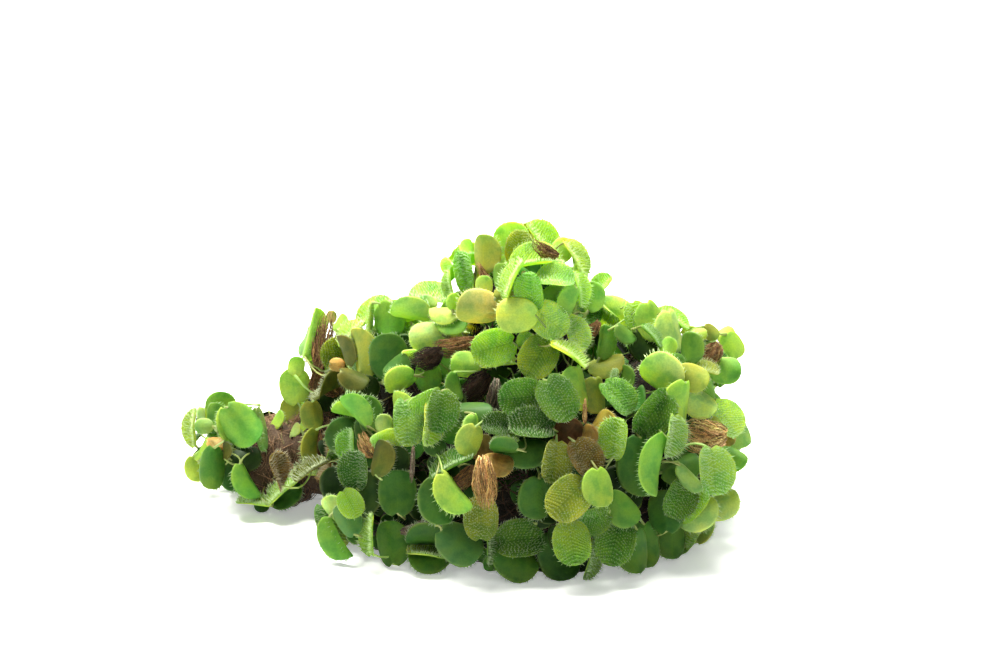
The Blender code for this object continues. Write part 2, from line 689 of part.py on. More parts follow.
class Heap:
    """The pieces laid so far, so that each new one can lie clear of them."""

    def __init__(self):
        self.items = []
        self.leaves = []
        self.lost = []

    def add(self, owner, shape):
        points = shape[0]
        middle = sum(points, Vector()) / len(points)
        reach = max((p - middle).length for p in points)
        self.items.append((owner, middle, reach, tree_of([shape])))

    def clear(self, shape, skip=()):
        points = shape[0]
        middle = sum(points, Vector()) / len(points)
        reach = max((p - middle).length for p in points)
        tree = None
        for owner, spot, size, other in self.items:
            if owner in skip or (spot - middle).length > reach + size:
                continue
            if tree is None:
                tree = tree_of([shape])
            if tree.overlap(other):
                return False
        return True

    def move(self, piece, shift):
        """Move a piece that has no stalk yet, if it is clear in its new place."""
        if piece["kind"] == "leaf":
            axes, size, fold = piece["axes"], piece["size"], piece["fold"]
            shape = leaf_shape(piece["middle"] + shift, axes, size, fold, rim=piece["rim"])
            fat = leaf_shape(piece["middle"] + shift, axes, size, fold, 1.04, GAP)
        else:
            path = [spot + shift for spot in piece["path"]]
            shape = tuft_shape(path, piece["wide"])
            fat = tuft_shape(path, piece["wide"], GAP)
        if min(p.z for p in fat[0]) < 0.3 or not self.clear(fat, {piece["index"]}):
            return False
        self.items = [item for item in self.items if item[0] != piece["index"]]
        self.add(piece["index"], shape)
        piece["middle"] = piece["middle"] + shift
        piece["joint"] = piece["joint"] + shift
        if piece["kind"] == "tuft":
            piece["path"] = path
        return True

    def lay_leaf(self, sprig, middle, axes, size, fold, tone, out, inside=False):
        """Slide a leaf outwards until it is clear, then keep it."""
        rim = 6 if inside or size < 8.5 else 8
        for shrink in (1.0, 0.88, 0.76):
            for k in range(0, 26):
                spot = middle + out * (STEP * k if k < 20 else -STEP * (k - 19))
                shape = leaf_shape(spot, axes, size * shrink, fold, 1.04, GAP)
                low = min(p.z for p in shape[0])
                if low < 0.5:
                    lift = Vector((0, 0, 0.5 - low))
                    spot = spot + lift
                    shape = ([p + lift for p in shape[0]], shape[1])
                if inside and not all(in_outline(p) for p in shape[0][:8]):
                    continue
                if self.clear(shape):
                    index = len(self.leaves)
                    kept = leaf_shape(spot, axes, size * shrink, fold, rim=rim)
                    joint = spot - axes[0] * (0.5 * size * shrink) - axes[2] * (0.05 * size * shrink)
                    self.add(index, kept)
                    leaf = {"sprig": sprig, "kind": "leaf", "middle": spot, "axes": axes,
                            "size": size * shrink, "fold": fold, "tone": tone, "rim": rim,
                            "joint": joint, "in": -out, "index": index, "way": -axes[0]}
                    self.leaves.append(leaf)
                    return leaf
        return None

    def lay_tuft(self, sprig, start, end, wide, tone, out):
        """Slide a tuft outwards until it is clear, then keep it."""
        for k in range(0, 20):
            shift = out * (STEP * k)
            path = [(start + (end - start) * t) + shift + Vector((0, 0, -0.8 * math.sin(math.pi * t)))
                    for t in (0, 0.3, 0.72, 1)]
            shape = tuft_shape(path, wide)
            fat = tuft_shape(path, wide, GAP * 1.3)
            low = min(p.z for p in fat[0])
            if low < 0.5:
                continue
            if self.clear(fat):
                index = len(self.leaves)
                self.add(index, shape)
                tuft = {"sprig": sprig, "kind": "tuft", "path": path, "wide": wide, "tone": tone,
                        "joint": path[0], "in": -out, "index": index, "middle": path[1],
                        "way": (path[0] - path[1]).normalized()}
                self.leaves.append(tuft)
                return tuft
        return None


def front_pieces(heap):
    """Lay the leaves and tufts that the front view shows, deepest first."""
    todo = []
    for name, rows in SPRIGS.items():
        for row in rows:
            todo.append((row[8], name, "leaf", row))
    for name, rows in TUFTS.items():
        for row in rows:
            todo.append((row[6], name, "tuft", row))
    todo.sort(key=lambda item: item[0])
    lost = 0
    for layer, name, kind, row in todo:
        if kind == "leaf":
            x, y, aim, size, lean, roll, fold, tone, _ = row
            axes = leaf_axes(aim, lean, roll, UP, NEAR)
            middle = on_front(x, y) + NEAR * (LAYER * (layer - 1.5))
            made = heap.lay_leaf(name, middle, axes, size * UNIT, fold, tone, NEAR)
        else:
            x0, y0, x1, y1, wide, tone, _ = row
            spot = on_front((x0 + x1) / 2, (y0 + y1) / 2) + NEAR * (LAYER * (layer - 1.5))
            half = RIGHT * ((x1 - x0) * UNIT / 2) + UP * ((y0 - y1) * UNIT / 2)
            made = heap.lay_tuft(name, spot - half, spot + half, wide * UNIT, tone, NEAR)
        lost += made is None
    return lost


def back_pieces(heap):
    """Cover the sides and the back with pairs of leaves along short rhizomes."""
    rng = random.Random(11)
    spots = []
    for n, (x, y, z, rx, ry, rz) in enumerate(LOBES):
        radii = Vector((rx, ry, rz))
        count = int(4 * math.pi * ((rx * ry) ** 1.6 / 3 + (rx * rz) ** 1.6 / 3 + (ry * rz) ** 1.6 / 3) ** 0.625
                    / (PAIR_SPACING ** 2 * 0.87))
        for k in range(count):
            high = 1 - 2 * (k + 0.5) / count
            turn = k * 2.399963 + n
            ring = math.sqrt(1 - high * high)
            way = Vector((ring * math.cos(turn), ring * math.sin(turn), high))
            spot = Vector((x + way.x * rx, y + way.y * ry, z + way.z * rz))
            normal = Vector((way.x / rx, way.y / ry, way.z / rz)).normalized()
            if spot.z < 5 or normal.dot(NEAR) > 0.1:
                continue
            if mound(np.array([spot + normal * 1.0]))[0] > 0.0:
                continue
            if any((spot - other[0]).length < PAIR_SPACING * 0.72 for other in spots):
                continue
            spots.append((spot, normal))
    spots.sort(key=lambda item: (round(item[0].z / 22), math.atan2(item[0].y, item[0].x - 15)))
    left = list(range(len(spots)))
    sprig = 0
    while left:
        sprig += 1
        chain = [left.pop(0)]
        while len(chain) < 5 and left:
            nearest = min(left, key=lambda k: (spots[k][0] - spots[chain[-1]][0]).length)
            if (spots[nearest][0] - spots[chain[-1]][0]).length > 2.1 * PAIR_SPACING:
                break
            left.remove(nearest)
            chain.append(nearest)
        name = "sprig_back_%02d" % sprig
        for k in chain:
            spot, normal = spots[k]
            up = Vector((0, 0, 1)) - normal * normal.z
            if up.length < 0.2:
                up = Vector((0, 1, 0)) - normal * normal.y
            up.normalize()
            right = up.cross(normal)
            aim = rng.uniform(0, 360)
            for side in (0, 1):
                size = rng.uniform(10.4, 12.8)
                turn = aim + side * rng.uniform(150, 190)
                roll = rng.gauss(0, 24) + (180 if rng.random() < 0.4 else 0)
                lean = rng.uniform(-12, 32)
                axes = leaf_axes(turn, lean, roll, up, normal)
                flat = right * math.cos(math.radians(turn)) + up * math.sin(math.radians(turn))
                high = spot.z / 85
                tone = rng.choice("ylglmg" if high + rng.uniform(-0.2, 0.2) > 0.5 else "gmmdolk")
                fold = rng.choice((5, 8, 12, 20, 45))
                heap.lay_leaf(name, spot + flat * (size * 0.52) - normal * 1.0, axes, size, fold, tone,
                              normal, True)


def near_outline(point):
    """True where a point lies inside the front outline or just outside it."""
    return any(in_outline(point + shift) for shift in (Vector(), UP * 2, UP * -2, RIGHT * 2, RIGHT * -2))


def route(heap, sprig, piece, target, spot, skip, longest, strict):
    """A clear way for a stalk from a leaf base to a place on its rhizome."""
    start = piece["joint"]
    inward = piece["in"]
    span = target - start
    across = span.cross(inward)
    if across.length > 0.1:
        across.normalize()
    half = (start + target) / 2
    bends = [None, half + inward * 1.2, start + piece["way"] * 1.8, half + inward * 2.8, half + inward * 4.5,
             start + piece["way"] * 2.5 + inward * 2.5, half + inward * 2.6 + across * 3,
             half + inward * 2.6 - across * 3, half + inward * 6.5, half + across * 3, half - across * 3,
             half - inward * 1.5, half + inward * 5 + across * 5, half + inward * 5 - across * 5,
             half - inward * 3.5, half + inward * 9]
    facing = spot["normal"] if spot else None
    if spot:
        bends.insert(2, target + facing * 2.2)
        bends.insert(4, target + facing * 3.5 + piece["way"])
    for bend in bends:
        path = [start, target] if bend is None else [start, bend, target]
        first = path[1] - path[0]
        last = path[-2] - path[-1]
        if path[1].z < 1.3 or first.length < 1.0 or last.length < 1.0:
            continue
        if first.normalized().dot(piece["way"]) < (0.0 if strict else -0.5):
            continue
        if len(path) == 3 and last.normalized().dot(first.normalized()) > 0.5:
            continue
        if facing is not None and last.normalized().dot(facing) < (0.45 if strict else 0.25):
            continue
        if sum((b - a).length for a, b in zip(path, path[1:])) > longest:
            continue
        if heap.clear(tube_shape(path, [STALK + GAP] * len(path)), skip):
            shown = [a.lerp(b, share) for a, b in zip(path, path[1:]) for share in (0.0, 0.33, 0.67)]
            if all(near_outline(p) for p in shown[1:]) and sprig.fits(heap, piece, path, spot):
                return path
    return None


def join_sprigs(heap):
    """Give each leaf and tuft a stalk that branches from its sprig, clear of the others."""
    groups = {}
    for piece in heap.leaves:
        groups.setdefault(piece["sprig"], []).append(piece)
    sprigs = {}
    orphans = []

    def attach(piece, name, path, spot):
        owner = ("stalk", piece["index"])
        sprigs.setdefault(name, Sprig()).grow(piece, path, spot, owner)
        piece["stalk"] = path
        heap.add(owner, piece["form"])

    def try_attach(piece, names, most, longest=LONGEST_STALK):
        choices = [(spot, n) for n in names if n in sprigs for spot in sprigs[n].spots]
        choices.sort(key=lambda item: (item[0]["centre"] - piece["joint"]).length)
        for strict in (True, False):
            for spot, name in choices[:most]:
                own = {("stalk", p["index"]) for p in sprigs[name].pieces} | {piece["index"]}
                if not strict:
                    own |= {p["index"] for p in sprigs[name].pieces}
                path = route(heap, sprigs[name], piece, spot["centre"], spot, own, longest, strict)
                if path:
                    attach(piece, name, path, spot)
                    return True
        return False

    for name, pieces in groups.items():
        centre = sum((p["joint"] for p in pieces), Vector()) / len(pieces)
        left = sorted(pieces, key=lambda p: (p["joint"] - centre).length)
        while left and name not in sprigs:
            piece = left.pop(0)
            for reach in (4.0, 2.5, 6.0):
                goal = piece["joint"] + piece["in"] * reach + piece["way"] * 3.0
                path = route(heap, Sprig(), piece, goal, None, {piece["index"]}, LONGEST_STALK, True)
                if path:
                    attach(piece, name, path, None)
                    break
            else:
                orphans.append(piece)
        while left:
            joints = [p["joint"] for p in sprigs[name].pieces]
            left.sort(key=lambda p: min((p["joint"] - j).length for j in joints))
            piece = left.pop(0)
            if not try_attach(piece, [name], 40):
                orphans.append(piece)
    lost = 0
    for piece in orphans:
        if try_attach(piece, [piece["sprig"]], 200) or try_attach(piece, list(sprigs), 160):
            continue
        if try_attach(piece, list(sprigs), 260, LONGEST_STALK * 1.3):
            continue
        start = piece["middle"], piece["joint"]
        for shift in (1.0, 2.0, -1.0, 3.0, -2.0, 4.5):
            move = piece["in"] * -shift
            if not heap.move(piece, move):
                continue
            if try_attach(piece, list(sprigs), 120):
                break
            heap.move(piece, -move)
        else:
            lost += 1
            heap.lost.append(piece)
    for name in list(sprigs):
        if len(sprigs[name].pieces) < 2:
            lost += len(sprigs[name].pieces)
            del sprigs[name]
    return sprigs, lost


TONES = {
    "y": (0.62, 0.80, 0.12), "l": (0.42, 0.72, 0.12), "g": (0.20, 0.56, 0.06), "m": (0.14, 0.38, 0.06),
    "d": (0.04, 0.20, 0.02), "k": (0.05, 0.10, 0.01), "t": (0.38, 0.68, 0.32), "o": (0.32, 0.36, 0.05),
    "e": (0.05, 0.24, 0.10), "b": (0.45, 0.34, 0.10), "p": (0.50, 0.40, 0.22), "c": (0.40, 0.26, 0.06),
    "n": (0.08, 0.04, 0.01), "a": (0.62, 0.34, 0.06), "w": (0.75, 0.66, 0.40), "r": (0.16, 0.09, 0.03),
    "z": (0.03, 0.02, 0.01), "s": (0.45, 0.28, 0.10), "f": (0.16, 0.14, 0.10),
}


def material(name, tone):
    """The plain colour of one piece."""
    made = bpy.data.materials.new(name)
    made.use_nodes = True
    shader = made.node_tree.nodes["Principled BSDF"]
    red, green, blue = TONES[tone]
    shader.inputs["Base Color"].default_value = (red, green, blue, 1)
    shader.inputs["Roughness"].default_value = 0.55
    shader.inputs["Metallic"].default_value = 0.0
    return made


def put(name, shape, home, paint=None):
    """A mesh object in metres from points in millimetres."""
    mesh = bpy.data.meshes.new(name)
    mesh.from_pydata([tuple(p * MM) for p in shape[0]], [], shape[1])
    work = bmesh.new()
    work.from_mesh(mesh)
    bmesh.ops.recalc_face_normals(work, faces=work.faces)
    if work.calc_volume(signed=True) < 0:
        bmesh.ops.reverse_faces(work, faces=work.faces)
    bmesh.ops.triangulate(work, faces=work.faces)
    work.to_mesh(mesh)
    work.free()
    made = bpy.data.objects.new(name, mesh)
    home.objects.link(made)
    if paint:
        mesh.materials.append(paint)
    return made


def is_whole(mesh):
    """True for one closed body."""
    work = bmesh.new()
    work.from_mesh(mesh)
    closed = all(len(edge.link_faces) == 2 for edge in work.edges)
    left = set(work.verts)
    todo = [left.pop()] if left else []
    while todo:
        vert = todo.pop()
        for edge in vert.link_edges:
            other = edge.other_vert(vert)
            if other in left:
                left.remove(other)
                todo.append(other)
    whole = closed and not left and len(work.verts) > 3
    work.free()
    return whole


def fuse(name, shapes, home, tools, paint):
    """One closed solid from shapes that overlap."""
    body = put(name, shapes[0], home, paint)
    for k, shape in enumerate(shapes[1:]):
        cutter = put("%s_form_%02d" % (name, k), shape, tools)
        cutter.hide_render = True
        cutter.display_type = "WIRE"
        union = body.modifiers.new("join", "BOOLEAN")
        union.operation = "UNION"
        union.solver = "EXACT"
        union.object = cutter
    for solver, weld in (("EXACT", 2e-6), ("EXACT", 2e-7), ("MANIFOLD", 1e-6)):
        for union in body.modifiers:
            union.solver = solver
        graph = bpy.context.evaluated_depsgraph_get()
        solid = bpy.data.meshes.new_from_object(body.evaluated_get(graph))
        work = bmesh.new()
        work.from_mesh(solid)
        bmesh.ops.remove_doubles(work, verts=work.verts, dist=weld)
        bmesh.ops.triangulate(work, faces=work.faces)
        work.to_mesh(solid)
        work.free()
        if is_whole(solid):
            break
    body.modifiers.clear()
    body.data = solid
    solid.name = name
    return body


for old in list(bpy.data.objects):
    bpy.data.objects.remove(old, do_unlink=True)

model = bpy.data.collections.new("water_spangles")
forms = bpy.data.collections.new("forms")
bpy.context.scene.collection.children.link(model)
bpy.context.scene.collection.children.link(forms)

heap = Heap()
mats = [ball_shape(*mat) for mat in MATS]
for shape in mats:
    heap.add("root_mass", shape)
lost_front = front_pieces(heap)
laid_front = len(heap.leaves)
back_pieces(heap)
sprigs, lost_joints = join_sprigs(heap)

every = [p for shape in mats for p in shape[0]] + [p for sprig in sprigs.values() for p in sprig.points]
middle_x = (min(p.x for p in every) + max(p.x for p in every)) / 2
middle_y = (min(p.y for p in every) + max(p.y for p in every)) / 2
origin = Vector((middle_x, middle_y, 0))
mats = [([p - origin for p in points], faces) for points, faces in mats]

paint = material("roots", "r")
fuse("root_mass", mats, model, forms, paint)
for name, sprig in sprigs.items():
    tones = [p["tone"] for p in sprig.pieces if p["kind"] == "leaf"]
    paint = material(name, max(set(tones), key=tones.count))
    put(name, ([p - origin for p in sprig.points], list(sprig.faces.values())), model, paint)
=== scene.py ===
import itertools
import math

import bpy
import numpy as np
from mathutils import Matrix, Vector
from mathutils.bvhtree import BVHTree


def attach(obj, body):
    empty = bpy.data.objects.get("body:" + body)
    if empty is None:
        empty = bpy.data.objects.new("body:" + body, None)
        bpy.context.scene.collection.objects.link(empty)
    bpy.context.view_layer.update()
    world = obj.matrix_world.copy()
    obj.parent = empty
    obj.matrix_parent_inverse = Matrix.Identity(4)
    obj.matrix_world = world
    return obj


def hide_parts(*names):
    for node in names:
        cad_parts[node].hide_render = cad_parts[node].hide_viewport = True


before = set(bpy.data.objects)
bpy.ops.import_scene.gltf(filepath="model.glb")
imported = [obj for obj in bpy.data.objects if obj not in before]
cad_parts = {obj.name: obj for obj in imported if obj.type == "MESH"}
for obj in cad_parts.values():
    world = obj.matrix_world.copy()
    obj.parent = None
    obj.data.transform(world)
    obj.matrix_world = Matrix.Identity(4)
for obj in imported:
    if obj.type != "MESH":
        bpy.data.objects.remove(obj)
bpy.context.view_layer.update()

# Root mass
# The submerged fronds of the floating plants are brown and root-like, and mat together
# inside the heap. The mat has soft lobes under a loose layer of curling fibres.

MM = 0.001
# Middle and radii of each lobe; those from FIRST_DRY_LOBE on have dried
ROOT_LOBES = np.array([
    (20, 0, 16, 46, 43, 27), (17, 3, 50, 13, 14, 23), (-15, 9, 32, 11, 15, 17),
    (52, 5, 30, 15, 18, 18), (-18, -8, 8, 13, 22, 12), (-36, 22, 15, 17, 11, 13),
    (-52, 23, 11, 12, 12, 13),
], dtype=float)
FIRST_DRY_LOBE = 5
# From the middle of the solids to the point that lobes, leaves and tufts are measured from
PLAN_SHIFT = np.array([0.3544, 2.3573, 0.0])
# Nothing but hairs lies lower
GROUND = 0.1
# Waves and depth of the lumps on a lobe
LUMPS = ((3.0, 0.05), (7.0, 0.03), (15.0, 0.018))
LOBE_SCALE = 0.97
# Painted shade: the wet fibres are their own brown darkened further, so that the gaps between the
# leaves read dark
WET_BROWN_AND_SHADE = (0.066, 0.038, 0.017)
DRY_BROWN = (0.42, 0.26, 0.14)
GREENISH = (0.20, 0.20, 0.06)
GREENISH_SHARE = 0.06
# Painted shade: the wet lobes' cores are the mat's own dark brown deepened to near black, so that
# the gaps read dark
WET_CORE_AND_SHADE = (0.016, 0.014, 0.006)
DRY_CORE = (0.085, 0.050, 0.024)
FIBRES_PER_CM2 = 7.0
UPPER_SHARE = 0.75
DRY_FIBRES = 6.0
# The way that dry fibres are combed, roughly
COMBED = np.array([0.35, -0.2, -1.0])
FIBRE_RADIUS = (0.10, 0.26)
FIBRE_LENGTH = (9.0, 26.0)
# Points along a wet and a dry fibre, and how much shorter and thinner the dry ones are
WET_STEPS, DRY_STEPS = 9, 6
DRY_LENGTH, DRY_THICK = 0.55, 0.60
# Keeps lengths from being nothing
TINY = 1e-9


def lobe_surface(middle, radii, phase, rough, rows=28, columns=56):
    """A lobe of the mat: an ellipsoid on a grid of latitude and longitude, made lumpy by a sum of
    sine waves of its direction, and held above the ground it lies on."""
    latitude = np.linspace(-math.pi / 2, math.pi / 2, rows)[:, None]
    longitude = np.linspace(0, 2 * math.pi, columns, endpoint=False)[None, :]
    way = np.stack([
        np.cos(latitude) * np.cos(longitude),
        np.cos(latitude) * np.sin(longitude),
        np.sin(latitude) * np.ones_like(longitude),
    ], axis=-1)
    x, y, z = np.moveaxis(way, -1, 0)
    lumps = 0.0
    for waves, depth in LUMPS:
        lumps = lumps + depth * np.sin(waves * x + phase) * np.cos(waves * y - 2 * phase)
        lumps = lumps + depth * np.sin(waves * z + 1.7 * phase) * np.sin(waves * x - phase)
    points = middle + way * radii * (LOBE_SCALE + rough * lumps[..., None])
    lift_to(points, GROUND)
    return points.reshape(-1, 3), (rows, columns)


def wrapped_quads(rows, columns):
    """Faces of a grid whose columns close into a ring."""
    row, column = np.meshgrid(np.arange(rows - 1), np.arange(columns), indexing="ij")
    here = row * columns + column
    beside = row * columns + (column + 1) % columns
    return np.stack([here, beside, beside + columns, here + columns], axis=-1).reshape(-1, 4)


def lift_to(points, height):
    """Points that lie below a height are lifted to it."""
    points[..., 2] = np.maximum(points[..., 2], height)


def unit(ways, least=0.0):
    """Directions at length one; least is added to lengths that may be zero."""
    return ways / (np.linalg.norm(ways, axis=-1, keepdims=True) + least)


def strands(paths, radii, sides=3):
    """Thin round fibres: a ring of corners is carried along each path of points and closed at the
    ends. Paths are an array of strands by steps by three, radii of strands by steps."""
    count, steps, _ = paths.shape
    way = unit(np.gradient(paths, axis=1), TINY)
    steep = np.abs(way[:, :1, 2:]) > 0.8
    out = unit(np.cross(way, np.where(steep, [[[1.0, 0.0, 0.0]]], [[[0.0, 0.0, 1.0]]])), TINY)
    other = np.cross(way, out)
    turn = 2 * math.pi * np.arange(sides) / sides
    ring = out[:, :, None] * np.cos(turn)[:, None] + other[:, :, None] * np.sin(turn)[:, None]
    points = (paths[:, :, None] + ring * radii[:, :, None, None]).reshape(-1, 3)
    first = np.arange(count)[:, None, None, None] * steps * sides
    row = first + np.arange(steps - 1)[None, :, None, None] * sides
    side = np.arange(sides)[None, None, :, None]
    after = (side + 1) % sides
    ahead = row + sides
    quads = np.concatenate([row + side, row + after, ahead + after, ahead + side], axis=3)
    start = first[:, 0, 0] + np.arange(sides)[::-1]
    end = first[:, 0, 0] + (steps - 1) * sides + np.arange(sides)
    return points, quads.reshape(-1, 4), np.concatenate([start, end])


def placed(name, data):
    """A new object of the scene with its data."""
    made = bpy.data.objects.new(name, data)
    bpy.context.scene.collection.objects.link(made)
    return made


class Build:
    """Collects the corners, faces and colours of one piece before they become its mesh."""

    def __init__(self):
        self.points = []
        self.faces = []
        self.slots = []
        self.tones = []
        self.marks = []
        self.count = 0

    def add(self, points, face_sets, slot, tone, mark=None):
        """Add corners with their faces, material slot, colour and (across, along, upper) marks."""
        points = np.asarray(points, dtype=float).reshape(-1, 3)
        self.points.append(points)
        for faces in face_sets:
            self.faces.append(np.asarray(faces) + self.count)
            self.slots.append(np.full(len(faces), slot))
        self.tones.append(np.broadcast_to(tone, (len(points), 3)))
        self.marks.append(np.zeros((len(points), 3)) if mark is None else mark.reshape(-1, 3))
        self.count += len(points)

    def add_strands(self, paths, radii, slot, tones, sides=3):
        """Add a round fibre along each path; tones hold one colour for each fibre or corner."""
        points, quads, ends = strands(paths, radii, sides)
        self.add(points, [quads, ends], slot, np.repeat(tones, len(points) // len(tones), axis=0))

    def make(self, name, materials):
        """The finished piece: mesh, colour attribute, marks as a UV map and an attribute."""
        sizes = np.concatenate([np.full(len(faces), faces.shape[1]) for faces in self.faces])
        corners = np.concatenate([faces.ravel() for faces in self.faces])
        mesh = bpy.data.meshes.new(name)
        mesh.vertices.add(self.count)
        mesh.loops.add(len(corners))
        mesh.polygons.add(len(sizes))

        def put(data, key, values, kind=np.float32):
            data.foreach_set(key, np.ascontiguousarray(values, dtype=kind).ravel())

        put(mesh.vertices, "co", np.concatenate(self.points) * MM)
        put(mesh.loops, "vertex_index", corners, np.int32)
        put(mesh.polygons, "loop_start", np.cumsum(sizes) - sizes, np.int32)
        put(mesh.polygons, "material_index", np.concatenate(self.slots), np.int32)
        mesh.update(calc_edges=True)
        mesh.validate()
        put(mesh.polygons, "use_smooth", np.ones(len(mesh.polygons)), bool)
        tones = np.column_stack([np.concatenate(self.tones), np.ones(self.count)])
        put(mesh.attributes.new("tone", "FLOAT_COLOR", "POINT").data, "color", tones)
        marks = np.concatenate(self.marks)
        put(mesh.attributes.new("upper", "FLOAT", "POINT").data, "value", marks[:, 2])
        loops = np.empty(len(mesh.loops), np.int32)
        mesh.loops.foreach_get("vertex_index", loops)
        put(mesh.uv_layers.new(name="blade").data, "uv", marks[loops, :2])
        for material in materials:
            mesh.materials.append(material)
        return placed(name, mesh)


class Paint:
    """Short ways to add nodes to a tree; a value is a number, a colour or another node's socket."""

    def __init__(self, tree):
        self.tree = tree

    def put(self, node, inputs):
        """Fill inputs of a node, given by name or number."""
        for key, value in inputs.items():
            if isinstance(value, bpy.types.NodeSocket):
                self.tree.links.new(value, node.inputs[key])
            else:
                fixed = (*value, 1.0) if isinstance(value, tuple) else value
                node.inputs[key].default_value = fixed

    def node(self, kind, inputs=None, **settings):
        """The outputs of a new node."""
        node = self.tree.nodes.new("ShaderNode" + kind)
        for key, value in settings.items():
            setattr(node, key, value)
        self.put(node, inputs or {})
        return node.outputs

    def mix(self, factor, one, two, mode="MIX"):
        """A colour mix."""
        given = {"Factor": factor, "A": one, "B": two}
        return self.node("Mix", given, data_type="RGBA", blend_type=mode)["Result"]

    def tint(self, colour, by, mask=1.0):
        """A colour times another, where a mask says so."""
        return self.mix(mask, colour, by, "MULTIPLY")

    def spread(self, value, low, high, to_low=0.0, to_high=1.0):
        """A mask stretched from one range to another."""
        given = dict(enumerate((value, low, high, to_low, to_high)))
        return self.node("MapRange", given)["Result"]

    def work(self, operation, *values):
        """A sum worked out on numbers."""
        return self.node("Math", dict(enumerate(values)), operation=operation)[0]

    def carried(self, name, output):
        """What the mesh carries under a name."""
        return self.node("Attribute", attribute_name=name)[output]

    def bump(self, height, distance, strength):
        """A normal that follows a height."""
        given = {"Height": height, "Distance": distance, "Strength": strength}
        return self.node("Bump", given)["Normal"]


def new_material(name):
    """A material with its painter, its Principled shader and its output."""
    material = bpy.data.materials.new(name)
    material.use_nodes = True
    nodes = material.node_tree.nodes
    return material, Paint(material.node_tree), nodes["Principled BSDF"], nodes["Material Output"]


def new_group(name, inputs, outputs):
    """A node group of numbers: the group, its painter, what it is given and its result."""
    group = bpy.data.node_groups.new(name, "ShaderNodeTree")
    for socket, value in inputs.items():
        made = group.interface.new_socket(socket, in_out="INPUT", socket_type="NodeSocketFloat")
        made.default_value = value
    for socket in outputs:
        group.interface.new_socket(socket, in_out="OUTPUT", socket_type="NodeSocketFloat")
    given = group.nodes.new("NodeGroupInput").outputs
    return group, Paint(group), given, group.nodes.new("NodeGroupOutput")


def grain_group():
    """Fine fibrous grain and soft cloudy patches on object coordinates, as two masks."""
    group, paint, given, result = new_group(
        "plant_grain", {"Fine size": 1500.0, "Patch size": 160.0}, ("Grain", "Patches"))
    place = paint.node("TexCoord")["Object"]
    for size, mask, detail in (("Fine size", "Grain", 3.0), ("Patch size", "Patches", 2.0)):
        noise = paint.node("TexNoise", {"Vector": place, "Scale": given[size], "Detail": detail})
        paint.put(result, {mask: noise["Fac"]})
    return group


plant_grain = grain_group()


def root_material():
    """Wet brown fibre: the carried colour, broken up by grain, with a low sheen."""
    material, paint, skin, _ = new_material("root_fibre")
    tone = paint.carried("tone", "Color")
    grain = paint.node("Group", {"Fine size": 2600.0, "Patch size": 130.0}, node_tree=plant_grain)
    dark = paint.tint(tone, (0.42, 0.36, 0.30))
    colour = paint.mix(paint.spread(grain["Grain"], 0.35, 0.65), dark, tone)
    patches = paint.spread(grain["Patches"], 0.4, 0.6, 0.0, 0.5)
    paint.put(skin, {
        "Base Color": paint.tint(colour, (0.50, 0.42, 0.30), patches),
        "Specular IOR Level": 0.25,
        "Roughness": paint.spread(grain["Grain"], 0.3, 0.7, 0.85, 0.6),
        "Normal": paint.bump(grain["Grain"], 0.0004, 0.8),
    })
    return material


root_fibre = root_material()


def mat_depth(spots):
    """How far out of its nearest lobe each spot lies, where 1 is the surface, and which lobe."""
    apart = (spots[:, None] + PLAN_SHIFT - ROOT_LOBES[:, :3]) / ROOT_LOBES[:, 3:]
    reach = np.linalg.norm(apart, axis=2)
    return reach.min(axis=1), reach.argmin(axis=1)


def into_mat(spots):
    """The direction from each spot to the middle of its nearest lobe."""
    return unit(ROOT_LOBES[mat_depth(spots)[1], :3] - PLAN_SHIFT - spots)


def make_root_mass():
    """The mat's lobes and the fibres that curl over them."""
    rng = np.random.default_rng(7)
    build = Build()
    for k, lobe in enumerate(ROOT_LOBES):
        middle, radii = lobe[:3] - PLAN_SHIFT, lobe[3:]
        dry = k >= FIRST_DRY_LOBE
        points, (rows, columns) = lobe_surface(middle, radii, 1.3 * k + 0.4, 2.0 if dry else 1.0)
        build.add(points, [wrapped_quads(rows, columns)], 0, DRY_CORE if dry else WET_CORE_AND_SHADE)
        pairs = (radii * np.roll(radii, 1)) ** 1.6
        area = 4 * math.pi * (pairs.sum() / 3) ** 0.625
        count = int(area / 100 * FIBRES_PER_CM2 * (DRY_FIBRES if dry else 1.0))
        way = rng.normal(size=(count, 3))
        way[:, 2] = np.abs(way[:, 2]) * np.where(rng.random(count) < UPPER_SHARE, 1, -0.4)
        way = unit(way)
        heading = COMBED + rng.normal(0, 0.40, (count, 3)) if dry else rng.normal(size=(count, 3))
        heading = unit(heading - way * (heading * way).sum(axis=1, keepdims=True))
        turning = np.cross(way, heading)
        length = rng.uniform(*FIBRE_LENGTH, count) / radii.mean() * (DRY_LENGTH if dry else 1.0)
        steps = DRY_STEPS if dry else WET_STEPS
        step = np.linspace(-0.5, 0.5, steps)[None, :] * length[:, None]
        bend = rng.normal(0, 0.5, (count, 1)) * step ** 2 * 2
        bend += 0.03 * np.sin(step * rng.uniform(8, 22, (count, 1)) + rng.uniform(0, 6, (count, 1)))
        along = way[:, None] + heading[:, None] * step[..., None]
        along = along + turning[:, None] * bend[..., None]
        lift = rng.uniform(0.98, 1.10, (count, 1))
        lift = lift + rng.uniform(-0.04, 0.06, (count, 1)) * (step * 3) ** 2
        paths = middle + unit(along) * radii * lift[..., None]
        lift_to(paths, GROUND + 0.3)
        taper = 1 - 0.6 * np.linspace(-1, 1, steps) ** 2
        thick = rng.uniform(*FIBRE_RADIUS, (count, 1)) * taper
        brown = np.array(DRY_BROWN if dry else WET_BROWN_AND_SHADE) * rng.uniform(0.2, 1.1, (count, 1))
        tones = np.where(rng.random((count, 1)) < GREENISH_SHARE, GREENISH, brown)
        build.add_strands(paths, thick * (DRY_THICK if dry else 1.0), 0, tones)
    mat = build.make("root_mat", [root_fibre])
    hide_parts("root_mass")
    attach(mat, "root")


make_root_mass()

# Leaves
# Round floating leaves in pairs, thin and soft, folded a little along the midrib. The upper
# face bears rows of stiff white hairs along the side veins; the lower face is smooth.

